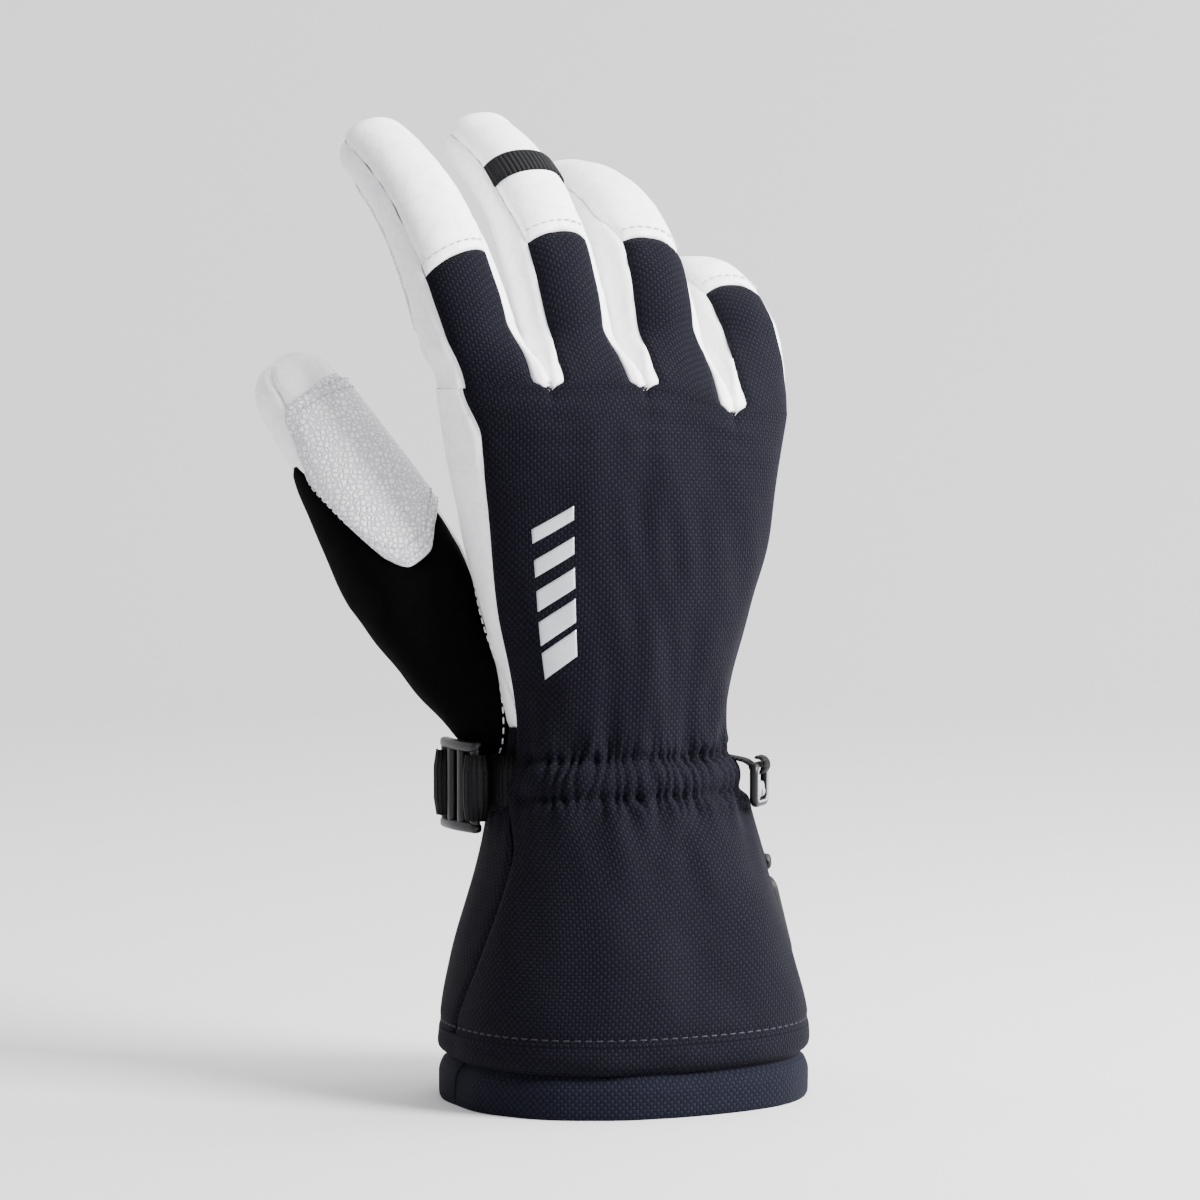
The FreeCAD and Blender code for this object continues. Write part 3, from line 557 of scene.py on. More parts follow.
@dataclass
class Panel:
    """A cut panel sewn at its edges: it swells a little and rolls down into the seams round it.

    A point lies at share p across and t along: v runs from low to high by t, u from left to right by p. It
    stands off the surface by rise + puff (1 - e^(-d/puff_width)) - roll e^(-(d/roll_width)^2) + relief, where d is
    the distance to the nearest sewn edge. Where the high edge shrinks to a point, pole is its outward direction.
    """

    surface: Surface
    left: Edge
    right: Edge
    low: Edge
    high: Edge
    step: float = 1.0
    rise: float = 0.0
    roll: float = 0.6
    roll_width: float = 1.1
    puff: float = 0.5
    puff_width: float = 5.0
    pucker: float = 0.0
    sewn: frozenset = ALL_SIDES
    relief: Callable[[Array, Array, Array], Array] | None = None
    crowd: float = 1.0
    pole: Array | None = None

    def places(self, across: int, along: int) -> tuple[Array, Array]:
        """The surface coordinates of an even grid, found in a few rounds as each edge may follow the other.

        Args:
            across: Points across.
            along: Points along.

        Returns:
            Both coordinates over the grid.
        """
        p, t = np.meshgrid(np.linspace(0, 1, across), np.linspace(0, 1, along), indexing="ij")
        t = 1 - (1 - t) ** self.crowd
        u = np.full_like(p, float(self.left(np.array(0.0)) + self.right(np.array(0.0))) / 2)
        for _ in range(5):
            v = self.low(u) + (self.high(u) - self.low(u)) * t
            u = self.left(v) + (self.right(v) - self.left(v)) * p
        return u, v

    def grid(self) -> tuple[Array, Array]:
        """Works the panel out.

        Returns:
            Its points and their places on the flat cut, both in millimetres over the grid.
        """
        rough = self.surface(*self.places(12, 12))
        wide = np.linalg.norm(np.diff(rough, axis=0), axis=-1).sum(0).max()
        long = np.linalg.norm(np.diff(rough, axis=1), axis=-1).sum(1).max()
        u, v = self.places(max(4, round(wide / self.step) + 1), max(4, round(long / self.step) + 1))
        points = self.surface(u, v)
        outward = unit(np.cross(np.gradient(points, axis=0), np.gradient(points, axis=1)))
        if self.pole is not None:
            outward[:, -1] = self.pole
        over = np.zeros(u.shape)
        over[1:] = np.linalg.norm(np.diff(points, axis=0), axis=-1).cumsum(0)
        up = np.zeros(u.shape)
        up[:, 1:] = np.linalg.norm(np.diff(points, axis=1), axis=-1).cumsum(1)
        gaps = {Side.LEFT: over, Side.RIGHT: over[-1:] - over, Side.LOW: up, Side.HIGH: up[:, -1:] - up}
        away = np.min([gaps[side] for side in self.sewn], axis=0) if self.sewn else np.full(u.shape, 99.0)
        lift = self.rise + self.puff * (1 - np.exp(-away / self.puff_width))
        lift = lift - self.roll * np.exp(-((away / self.roll_width) ** 2))
        if self.pucker:
            gathered = ripples(over, up, 5.5, 11) * np.exp(-away / 3.5)
            lift = lift + self.pucker * gathered
        if self.relief:
            lift = lift + self.relief(u, v, points)
        cut = np.stack([over - over[over.shape[0] // 2], up], -1)
        return points + outward * lift[..., None], cut

    def piece(self, name: str, finish: Finish, wall: float = 1.0) -> bpy.types.Object:
        """Makes the panel's object.

        Args:
            name: The piece's name.
            finish: What it is cut from.
            wall: Thickness in millimetres, inwards.

        Returns:
            The object.
        """
        points, cut = self.grid()
        faces = grid_faces(*points.shape[:2])
        made = make_piece(name, points.reshape(-1, 3), faces, finish, cut.reshape(-1, 2))
        thicken(made, wall, Side.HIGH in self.sewn and Side.LOW in self.sewn)
        return made

    def sew(self, name: str, finish: Finish, wall: float = 1.0, **joining) -> bpy.types.Object:
        """Makes the panel's object and hands it to settle.

        Args:
            name: The piece's name.
            finish: What it is cut from.
            wall: Thickness in millimetres, inwards.
            joining: What settle takes: the body it rides, or a bend, and the CAD nodes it replaces.

        Returns:
            The object.
        """
        return settle(self.piece(name, finish, wall), finish, **joining)


def level(value: float) -> Edge:
    """An edge that stays at one value."""
    return lambda other: np.full_like(np.asarray(other, float), value)


def along_knots(knots: Knots) -> Edge:
    """An edge that follows a smooth curve through knots."""
    return lambda other: curve(other, knots)


def trace(surface: Surface, u: Array, v: Array, rise: float) -> tuple[Array, Array]:
    """A line over a surface and its outward directions.

    Args:
        surface: The surface.
        u: First coordinate along the line.
        v: Second coordinate along the line.
        rise: Height over the surface in millimetres.

    Returns:
        The line's points and unit outward directions.
    """
    here = surface(u, v)
    outward = unit(np.cross(surface(u + 0.5, v) - here, surface(u, v + 0.5) - here))
    return here + outward * rise, outward


def stitch_row(
    name: str, path: Array, outward: Array, finish: Finish, pitch: float = 2.7, length: float = 2.0,
    radius: float = 0.28,
) -> bpy.types.Object:
    """A row of lockstitches: small flattened capsules end to end along a path, each dipping at its ends.

    Args:
        name: The piece's name.
        path: Points of the sewing line.
        outward: The surface's outward direction at each point.
        finish: The thread.
        pitch: Distance from stitch to stitch.
        length: Length of one stitch.
        radius: Half the thread's width.

    Returns:
        One object with every stitch.
    """
    gone = np.concatenate([[0], np.linalg.norm(np.diff(path, axis=0), axis=-1).cumsum()])
    places = np.arange(pitch / 2, gone[-1], pitch)
    middle, ahead, up = (
        np.stack([np.interp(at, gone, values[:, k]) for k in range(3)], -1)
        for at, values in ((places, path), (places + 0.4, path), (places, outward))
    )
    ahead = unit(ahead - middle + 1e-9)
    side = unit(np.cross(up, ahead))
    turn = np.arange(6) * math.tau / 6
    rings = np.array([(-0.5, 0.25, -0.5), (-0.36, 0.95, 0.0), (0.36, 0.95, 0.0), (0.5, 0.25, -0.5)])
    lengthwise = np.repeat(rings[:, 0] * length, 6)
    sideways = (rings[:, 1:2] * np.cos(turn) * radius).ravel()
    upwards = (rings[:, 1:2] * np.sin(turn) * radius * 0.8 + rings[:, 2:] * radius).ravel()
    points = (
        middle[:, None] + ahead[:, None] * lengthwise[None, :, None] + side[:, None] * sideways[None, :, None]
        + up[:, None] * upwards[None, :, None]
    )
    one = np.array([
        (r * 6 + k, (r + 1) * 6 + k, (r + 1) * 6 + (k + 1) % 6, r * 6 + (k + 1) % 6) for r in range(3) for k in range(6)
    ])
    ends = np.array([(0, 1, 2, 3), (0, 3, 4, 5), (21, 20, 19, 18), (23, 22, 21, 18)])
    shape = np.concatenate([one[:, ::-1], ends[:, ::-1]])
    faces = (shape[None] + np.arange(len(places))[:, None, None] * 24).reshape(-1, 4)
    return make_piece(name, points.reshape(-1, 3), faces, finish)


def sweep(
    path: Array, side: Array, wide: Array | float, deep: Array | float, power: float = 3.0, count: int = 20,
    closed: bool = False,
) -> tuple[Array, Array, Array]:
    """Carries a rounded-box profile along a path.

    Args:
        path: Points of the centre line.
        side: Direction of the profile's wide axis at each point.
        wide: Half width at each point.
        deep: Half depth at each point.
        power: Squareness of the profile.
        count: Points round the profile.
        closed: Whether the path is a ring; otherwise the ends are domed shut.

    Returns:
        Points, faces and places on a flat cut.
    """
    if closed:
        ahead = unit(np.roll(path, -1, 0) - np.roll(path, 1, 0))
    else:
        ahead = unit(np.gradient(path, axis=0))
    side = unit(side - (side * ahead).sum(-1, keepdims=True) * ahead)
    up = np.cross(ahead, side)
    turn = np.arange(count) / count * math.tau
    wide, deep = np.broadcast_to(wide, len(path))[:, None], np.broadcast_to(deep, len(path))[:, None]
    tip = np.ones((len(path), 1))
    if not closed:
        tip[[0, -1]], tip[[1, -2]] = 0.02, 0.8
    flat, tall = superellipse(turn[None], wide, deep, power)
    points = path[:, None] + (side[:, None] * flat[..., None] + up[:, None] * tall[..., None]) * tip[..., None]
    gone = np.concatenate([[0], np.linalg.norm(np.diff(path, axis=0), axis=-1).cumsum()])
    cut = np.stack([np.broadcast_to(gone[:, None], flat.shape), flat], -1)
    numbers = np.arange(len(path) * count).reshape(len(path), count)
    numbers = np.concatenate([numbers, numbers[:, :1]], 1)
    if closed:
        numbers = np.concatenate([numbers, numbers[:1]])
    corners = numbers[:-1, :-1], numbers[:-1, 1:], numbers[1:, 1:], numbers[1:, :-1]
    faces = np.stack(corners, -1).reshape(-1, 4)
    return points.reshape(-1, 3), faces[:, ::-1], cut.reshape(-1, 2)


def join(name: str, parts: Sequence[tuple[Array, Array, Array]], finish: Finish) -> bpy.types.Object:
    """One object of several swept forms that were moulded or sewn as one.

    Args:
        name: The piece's name.
        parts: Points, faces and flat places of each form.
        finish: What it is made of.

    Returns:
        The object.
    """
    starts = np.cumsum([0] + [len(part[0]) for part in parts[:-1]])
    faces = np.concatenate([part[1] + start for part, start in zip(parts, starts)])
    points, cut = (np.concatenate([part[k] for part in parts]) for k in (0, 2))
    return make_piece(name, points, faces, finish, cut)


def settle(
    piece: bpy.types.Object, finish: Finish, ride: str | None = None, bend: tuple | None = None,
    stands_for: Sequence[str] = (),
) -> bpy.types.Object:
    """Hides the CAD nodes that a piece replaces, then either bakes its transform, when a bend is given, or parents it
    to the empty of the body it rides.

    Args:
        piece: The piece.
        finish: Its finish; not used.
        ride: The body it moves with, when no bend is given.
            bend: Two bodies and two points in millimetres; when given, only the piece's transform is baked, and the
                bodies and points are not used.
        stands_for: CAD nodes that it replaces.

    Returns:
        The piece.
    """
    if stands_for:
        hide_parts(*stands_for)
    if bend:
        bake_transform(piece)
    else:
        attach(piece, ride)
    return piece


# --------------------------------------------------------------------------------------------------
# the forms under the panels
# --------------------------------------------------------------------------------------------------
@dataclass(frozen=True)
class ArmForm:
    """The glove's trunk from floor to knuckles: rounded-box rings about an upright line.

    Angle 0 is the little-finger side, 90 the palm, 180 the thumb side and 270 the back.
    """

    squareness: float = 2.3
    rings: tuple = (
        (0.0, 52.8, 45.5, 0.0), (19.5, 52.8, 45.5, 0.0), (39.7, 49.4, 41.8, -0.5), (67.3, 41.1, 34.8, -1.2),
        (94.0, 34.0, 27.0, -2.4), (102.0, 32.0, 25.0, -2.4), (110.0, 32.4, 25.0, -2.4), (141.0, 40.3, 25.45, -2.4),
        (172.0, 48.0, 25.5, -2.4), (194.0, 52.9, 23.0, -2.4), (205.0, 54.55, 20.0, -2.9),
    )
    crotch: Knots = ((-60.0, 204.0), (-3.0, 204.0), (11.0, 200.5), (25.0, 196.8), (60.0, 196.8))

    def at(self, angle: Array, height: Array) -> Array:
        """Points of the trunk.

        Args:
            angle: Degrees round it.
            height: Millimetres over the floor.

        Returns:
            The points.
        """
        wide, deep, middle = (curve(height, [(ring[0], ring[k]) for ring in self.rings]) for k in (1, 2, 3))
        x, y = superellipse(np.radians(angle), wide, deep, self.squareness)
        return np.stack([middle + x, y, np.asarray(height, float) + 0 * x], -1)

    def holds(self, points: Array) -> Array:
        """Whether each point is inside the trunk: |x/wide|^power + |y/deep|^power is under 1."""
        wide, deep, middle = (curve(points[..., 2], [(ring[0], ring[k]) for ring in self.rings]) for k in (1, 2, 3))
        across = np.abs((points[..., 0] - middle) / wide) ** self.squareness
        return across + np.abs(points[..., 1] / deep) ** self.squareness < 1

    def top(self, angle: Array) -> Array:
        """Height of the hand's upper edge, where the fingers begin, at an angle."""
        height = np.full_like(np.asarray(angle, float), 204.0)
        for _ in range(4):
            height = curve(self.at(angle, height)[..., 0], self.crotch)
        return height


ARM = ArmForm()
BACK_LEFT: Knots = (
    (0, 177), (18, 177), (45, 188), (70, 193), (96, 180), (112, 183), (130, 185), (142, 187), (172, 192), (190, 193),
    (204, 188.5), (210, 188.5),
)
BACK_RIGHT: Knots = ((0, 358), (140, 358), (160, 355), (182, 350), (194, 354), (205, 358))
STRIP_LEFT: Knots = (
    (100, 181), (112, 181), (125, 172), (139, 165), (155, 160), (172, 158), (190, 162), (204, 171.6), (210, 171.6),
)


@dataclass
class DigitForm:
    """A finger or thumb: rounded-box rings about a curled centre line that lies in one leaning plane.

    Angle 0 is the back of the hand and grows towards the little finger. The line's tilt to the palm goes smoothly
    from the first curl angle to the second, and the ring's size narrows the same way and then domes shut.
    """

    foot: tuple[float, float, float]
    splay: float
    curl: tuple[float, float]
    reach: float
    wide: float
    deep: float
    tip: float
    squareness: float = 2.3

    def __post_init__(self) -> None:
        """Lays the centre line out every quarter of a millimetre."""
        lean = math.radians(self.splay)
        self.across = np.array([math.cos(lean), 0.0, -math.sin(lean)])
        self.line_at = np.arange(-30.0, self.reach + 0.5, 0.25)
        ahead = self.heading(self.line_at)
        line = np.concatenate([[np.zeros(3)], (ahead[:-1] * 0.25).cumsum(0)])
        self.line = line - line[np.searchsorted(self.line_at, 0.0)] + np.array(self.foot)

    def heading(self, along: Array) -> Array:
        """Unit direction of the centre line at distances along it."""
        tilt = np.radians(self.curl[0] + (self.curl[1] - self.curl[0]) * smooth(along / self.reach))
        lean = math.radians(self.splay)
        upright = np.array([math.sin(lean), 0.0, math.cos(lean)])
        return upright * np.cos(tilt)[..., None] + np.array([0.0, 1.0, 0.0]) * np.sin(tilt)[..., None]

    def centre(self, along: Array) -> Array:
        """Points of the centre line at distances along it."""
        return np.stack([np.interp(along, self.line_at, self.line[:, k]) for k in range(3)], -1)

    def sizes(self, along: Array) -> tuple[Array, Array]:
        """Half width and half depth at distances along, before the dome."""
        taper = smooth(along / self.reach)
        return self.wide + (self.tip - self.wide) * taper, self.deep + (self.tip * 0.9 - self.deep) * taper

    def ring(self, angle: Array, along: Array) -> Array:
        """Points of the skin.

        Args:
            angle: Degrees round the digit.
            along: Distance along the centre line.

        Returns:
            The points.
        """
        wide, deep = self.sizes(along)
        left = np.clip((self.reach - along) / self.tip, 0.0, 1.0)
        dome = (1 - (1 - left) ** 2.5) ** 0.48
        side, back = superellipse(np.radians(90 - np.asarray(angle, float)), wide, deep, self.squareness)
        palmward = unit(np.cross(self.heading(along), self.across))
        return self.centre(along) + self.across * (side * dome)[..., None] - palmward * (back * dome)[..., None]


@dataclass
class FingerForm(DigitForm):
    """A finger that grows out of its own share of the hand's upper edge, so that neighbours part at a crotch.

    Up to the join, 12 mm over the bending axis, its skin is a cubic blend from that share's outline to the ring.
    """

    cell: tuple[float, float] = (-99.0, 99.0)
    merge: float = 12.0

    def __post_init__(self) -> None:
        """Tables the outline that the finger grows from, by angle about the middle of its share."""
        super().__post_init__()
        angles = np.linspace(0, 360, 2881)
        rim = ARM.at(angles, ARM.top(angles))
        mine = rim[(rim[:, 0] >= self.cell[0]) & (rim[:, 0] <= self.cell[1])]
        walls = [mine]
        for side in self.cell:
            if abs(side) < 60:
                near = np.abs(rim[:, 0] - side) < 0.3
                half = np.abs(rim[near][:, 1]).mean()
                deep = np.linspace(-half, half, 81)
                walls.append(np.stack([0 * deep + side, deep, 0 * deep + float(curve(side, ARM.crotch))], -1))
        outline = np.concatenate(walls)
        turned = np.degrees(np.arctan2(outline[:, 0] - self.foot[0], -outline[:, 1]))
        order = np.argsort(turned)
        self.rim_angle, self.rim = turned[order], outline[order]
        self.lead = self.foot[2] - float(curve(self.foot[0], ARM.crotch))
        self.join = self.merge + self.lead
        self.length = self.reach + self.lead

    def rim_at(self, angle: Array) -> Array:
        """Points of the outline that the finger grows from."""
        return np.stack(
            [np.interp(angle, self.rim_angle, self.rim[:, k], period=360) for k in range(3)], -1
        )

    def corner(self, side: int) -> float:
        """Angle at which the back meets the neighbour's share, on the side -1 or 1."""
        x = self.cell[0] if side < 0 else self.cell[1]
        if abs(x) > 60:
            angle = float(curve(200, BACK_LEFT if side < 0 else BACK_RIGHT))
            point = ARM.at(np.array(angle), ARM.top(np.array(angle)))
        else:
            near = (np.abs(self.rim[:, 0] - x) < 0.2) & (self.rim[:, 1] < 0)
            point = self.rim[near][np.argmin(self.rim[near][:, 1])]
        return math.degrees(math.atan2(point[0] - self.foot[0], -point[1]))

    def skin(self, angle: Array, above: Array) -> Array:
        """Points of the skin.

        Args:
            angle: Degrees round the finger.
            above: Distance over the crotch, measured along the finger.

        Returns:
            The points: a cubic blend under the join, then the ring.
        """
        angle, above = np.broadcast_arrays(np.asarray(angle, float), np.asarray(above, float))
        t = np.clip(above / self.join, 0, 1)[..., None]
        low, high = self.rim_at(angle), self.ring(angle, np.full_like(above, self.merge))
        rise = np.array([0.0, 0.0, self.join])
        ahead = self.heading(np.array(self.merge)) * self.join
        blend = (
            low * (1 + 2 * t) * (1 - t) ** 2 + high * t * t * (3 - 2 * t)
            + rise * t * (1 - t) ** 2 - ahead * t * t * (1 - t)
        )
        return np.where(above[..., None] < self.join, blend, self.ring(angle, above - self.lead))


@dataclass
class ThumbForm(DigitForm):
    """The thumb, whose centre line goes on below its bending axis into the heel of the hand.

    Below the axis the line is a cubic from the wrist, and the ring swells out of it.
    """

    root: tuple[float, float, float] = (-22.0, 14.0, 96.0)
    root_length: float = 65.0
    root_wide: Knots = ((-65, 9), (-45, 11.0), (-22, 14.0), (0, 17.2), (4, 17.5), (5, 17.5))
    root_deep: Knots = ((-65, 9), (-45, 11), (-22, 12.5), (-8, 14.5), (4, 17.5), (5, 17.5))

    def __post_init__(self) -> None:
        """Puts the root's line in front of the digit's and tables where the skin leaves the trunk."""
        super().__post_init__()
        t = np.linspace(0, 1, 261)[:-1, None]
        start, end = np.array(self.root), np.array(self.foot)
        out = np.array([-0.7, 0.3, 0.64]) * self.root_length
        ahead = self.heading(np.array(0.0)) * self.root_length
        line = (
            start * (1 + 2 * t) * (1 - t) ** 2 + end * t * t * (3 - 2 * t) + out * t * (1 - t) ** 2
            - ahead * t * t * (1 - t)
        )
        upper = self.line_at >= 0
        self.line = np.concatenate([line, self.line[upper]])
        self.line_at = np.concatenate([(t[:, 0] - 1) * self.root_length, self.line_at[upper]])
        self.way = unit(np.gradient(self.line, axis=0))
        turns = np.arange(-180, 181, 3.0)
        places = np.arange(-60, 30, 0.5)
        inside = ARM.holds(self.skin(turns[:, None], places[None]))
        last = np.where(inside, places[None], -60).max(1)
        wide = np.concatenate([last[-4:-1], last, last[1:4]])
        self.leaves = np.stack([turns, np.convolve(wide, np.ones(7) / 7, "valid")], -1)

    def sizes(self, along: Array) -> tuple[Array, Array]:
        """Half width and half depth, swelling along the root and narrowing along the digit."""
        wide, deep = super().sizes(along)
        return np.minimum(wide, curve(along, self.root_wide)), np.minimum(deep, curve(along, self.root_deep))

    def skin(self, angle: Array, along: Array) -> Array:
        """Points of the skin, with the ring square to the whole line.

        Args:
            angle: Degrees round the thumb.
            along: Distance from the bending axis, less than nothing in the root.

        Returns:
            The points.
        """
        angle, along = np.broadcast_arrays(np.asarray(angle, float), np.asarray(along, float))
        wide, deep = self.sizes(along)
        left = np.clip((self.reach - along) / self.tip, 0.0, 1.0)
        dome = (1 - (1 - left) ** 2.5) ** 0.48
        side, back = superellipse(np.radians(90 - angle), wide, deep, self.squareness)
        way = np.stack([np.interp(along, self.line_at, self.way[:, k]) for k in range(3)], -1)
        palmward = unit(np.cross(way, self.across))
        across = np.cross(palmward, way)
        return self.centre(along) + across * (side * dome)[..., None] - palmward * (back * dome)[..., None]

    def leaving(self, angle: Array) -> Array:
        """Distance along at which the skin comes out of the trunk, at an angle."""
        return np.interp(np.asarray(angle, float), self.leaves[:, 0], self.leaves[:, 1], period=360)


WRIST_BEND = ("gauntlet", "hand", (0.0, 0.0, 92.0), (0.0, 0.0, 112.0))


# --------------------------------------------------------------------------------------------------
# the glove's sub-assemblies
# --------------------------------------------------------------------------------------------------
@dataclass
class Shirring:
    """The gathered wrist: two elastic rows pull the fabric in, pleats stand between and die out in long folds."""

    rows: tuple[float, float] = (99.0, 88.5)
    pleat: float = 3.5
    height: float = 1.9
    draw: float = 1.3

    def relief(self, angle: Array, height: Array, points: Array) -> Array:
        """How far the fabric stands off the trunk.

        Args:
            angle: Degrees round the trunk.
            height: Millimetres over the floor.
            points: Points of the trunk, not used here.

        Returns:
            Offsets: |cos|^0.8 pleats within a bell round each row, less the draw at the rows, plus slanting folds.
        """
        around = np.radians(angle) * 30.0
        wander = ripples(around, height * 0.5, 17.0, 5) * 0.8 + ripples(around, height * 0.45, 8.0, 6) * 0.45
        high, low = self.rows
        row = bell(height, high, 1.7) + bell(height, low, 1.7)
        near = smooth((height - 81) / 5) * smooth((108 - height) / 8)
        above = smooth((height - high) / 4) * np.exp(-np.clip(height - high, 0, 99) / 10)
        below = smooth((low - height) / 4) * np.exp(-np.clip(low - height, 0, 99) / 8)
        ends = smooth((angle - 186) / 12) * smooth((357 - angle) / 8)
        pleats = np.abs(np.cos(math.pi * around / self.pleat + wander * 1.6)) ** 0.8 - 0.62
        folds = ripples(around, (height - 95) * 0.3, 8.5, 8)
        wide = ripples(around, (height - 95) * 0.22, 15.0, 9)
        puffed = bell(height, (high + low) / 2, 3.6) * 1.1
        uneven = 0.75 + 0.45 * ripples(around, height * 0.6, 12.0, 7)
        gathered = (pleats * self.height * uneven * (0.5 + 0.6 * row) * near + puffed - self.draw * row) * ends
        return gathered + ends * (above + below) * (1.25 * folds + 1.1 * wide)


@dataclass
class Gauntlet:
    """The flared gauntlet: the navy back that runs up to the knuckles, the palm side, the hem and the inner cuff."""

    seam_height: float = 20.5
    stitch_height: float = 22.4
    crotches: tuple = (-31.8, -3.3, 25.2)
    cuff_lean: Knots = ((0, 0.2), (1.2, 0.7), (7, 0.6), (10.5, -0.6), (12.5, -2.8), (19, -3.0))

    def back_relief(self, angle: Array, height: Array, points: Array) -> Array:
        """Shirring, soft folds of the cloth, and dips where the crotches pull the upper edge down."""
        gathers = Shirring().relief(angle, height, points)
        around = np.radians(angle) * 45.0
        soft = ripples(around, height * 0.6, 42.0, 21) * 0.7 + ripples(around, height * 0.8, 19.0, 22) * 0.22
        calm = smooth((height - 20) / 15) * smooth((ARM.top(angle) - height) / 14)
        down = ARM.top(angle) - height
        nearest = np.abs(points[..., 0, None] - np.array(self.crotches)).min(-1)
        dip = np.exp(-down / 3.0) * (0.5 * np.exp(-nearest / 5.0) + 0.6 * np.exp(-((nearest / 1.1) ** 2)))
        tension = 0.5 * np.exp(-down / 12.0) * np.exp(-nearest / 6.0) * np.sin(down * 0.9)
        sunk = 0.4 * bell(height, self.stitch_height, 0.9)
        return gathers + soft * calm - dip - tension * smooth(down / 3) - sunk

    def palm_relief(self, angle: Array, height: Array, points: Array) -> Array:
        """Soft folds of the palm side, deeper where the strap draws the wrist in."""
        around = np.radians(angle) * 40.0
        drawn = bell(height, 90.0, 10.0)
        calm = smooth((height - self.stitch_height - 1) / 12)
        soft = ripples(around, height * 0.5, 34.0, 23) * 0.6 * calm - 0.4 * bell(height, self.stitch_height, 0.9)
        return soft + ripples(around, height * 0.3, 9.0, 24) * 0.9 * drawn

    def build(self) -> None:
        """Makes the gauntlet's pieces and joins them to the frame."""
        left, right = along_knots(BACK_LEFT), along_knots(BACK_RIGHT)
        shell = Panel(
            ARM.at, left, right, level(self.seam_height), ARM.top, step=0.85, relief=self.back_relief,
            sewn=frozenset({Side.LEFT, Side.RIGHT}),
        )
        shell.sew(
            "back_shell", NAVY, bend=WRIST_BEND,
            stands_for=("gauntlet_back_panel", "hand_back_panel", "wrist_gather"),
        )
        palm = Panel(
            ARM.at, lambda v: right(v) - 360, left, level(self.seam_height), level(107.0), relief=self.palm_relief,
            sewn=frozenset({Side.LEFT, Side.RIGHT, Side.HIGH}),
        )
        palm.sew("gauntlet_palm", NAVY, bend=WRIST_BEND, stands_for=("gauntlet_palm_panel",))
        self.build_hem()
        self.build_cuff()
        lining = Panel(ARM.at, level(0.0), level(360.0), level(16.0), level(100.0), step=2.5, rise=-3.4, roll=0.0)
        lining.relief = lambda u, v, points: ripples(u * 0.8, v, 14.0, 31) * 0.4
        lining.sew("gauntlet_fleece", FLEECE, 2.0, bend=WRIST_BEND, stands_for=("gauntlet_lining",))
        rows = [
            Panel(ARM.at, level(182.0), level(357.0), level(z - 3), level(z + 3), rise=-1.9, roll=0.2, step=1.2)
            for z in Shirring().rows
        ]
        for number, row in enumerate(rows, start=1):
            stands_for = ("wrist_elastic",) if number == 1 else ()
            row.sew(f"wrist_elastic_row_{number}", ELASTIC, 0.8, bend=WRIST_BEND, stands_for=stands_for)

    def build_hem(self) -> None:
        """The turned hem with its topstitching, and the side seam's stitches."""
        hem = Panel(ARM.at, level(-180.0), level(180.0), level(12.2), level(self.seam_height), step=0.8)
        hem.sewn, hem.puff, hem.puff_width, hem.roll, hem.roll_width = frozenset({Side.LOW}), 0.5, 0.8, 2.2, 1.5
        hem.relief = self.hem_relief
        hem.sew("hem_band", NAVY, 2.2, ride="gauntlet", stands_for=("gauntlet_hem",))
        around = np.linspace(-180, 180, 721)
        line, outward = trace(ARM.at, around, np.full_like(around, self.stitch_height), 0.1)
        settle(stitch_row("hem_topstitch", line, outward, NAVY_THREAD, 3.1, 2.3, 0.27), NAVY_THREAD, ride="gauntlet")

    def hem_relief(self, angle: Array, height: Array, points: Array) -> Array:
        """Slow waves that fade out at the seam, and the fuller middle where the edge is turned in."""
        waves = ripples(np.radians(angle) * 48, height, 26.0, 33) * 0.35
        return waves * smooth((self.seam_height - height) / 3) + 0.5 * bell(height, 16.5, 3.0)

    def cuff_relief(self, angle: Array, height: Array, points: Array) -> Array:
        """The cuff's lean inwards under the hem, with slow waves."""
        return curve(height, self.cuff_lean) + ripples(np.radians(angle) * 48, height, 30.0, 35) * 0.3

    def build_cuff(self) -> None:
        """The inner cuff that shows under the hem and stands on the floor."""
        cuff = Panel(ARM.at, level(-180.0), level(180.0), level(0.0), level(18.0), step=0.8, puff=0.0, roll=0.0)
        cuff.relief = self.cuff_relief
        cuff.sew("inner_cuff", CUFF, 1.8, ride="gauntlet", stands_for=("inner_cuff_band",))


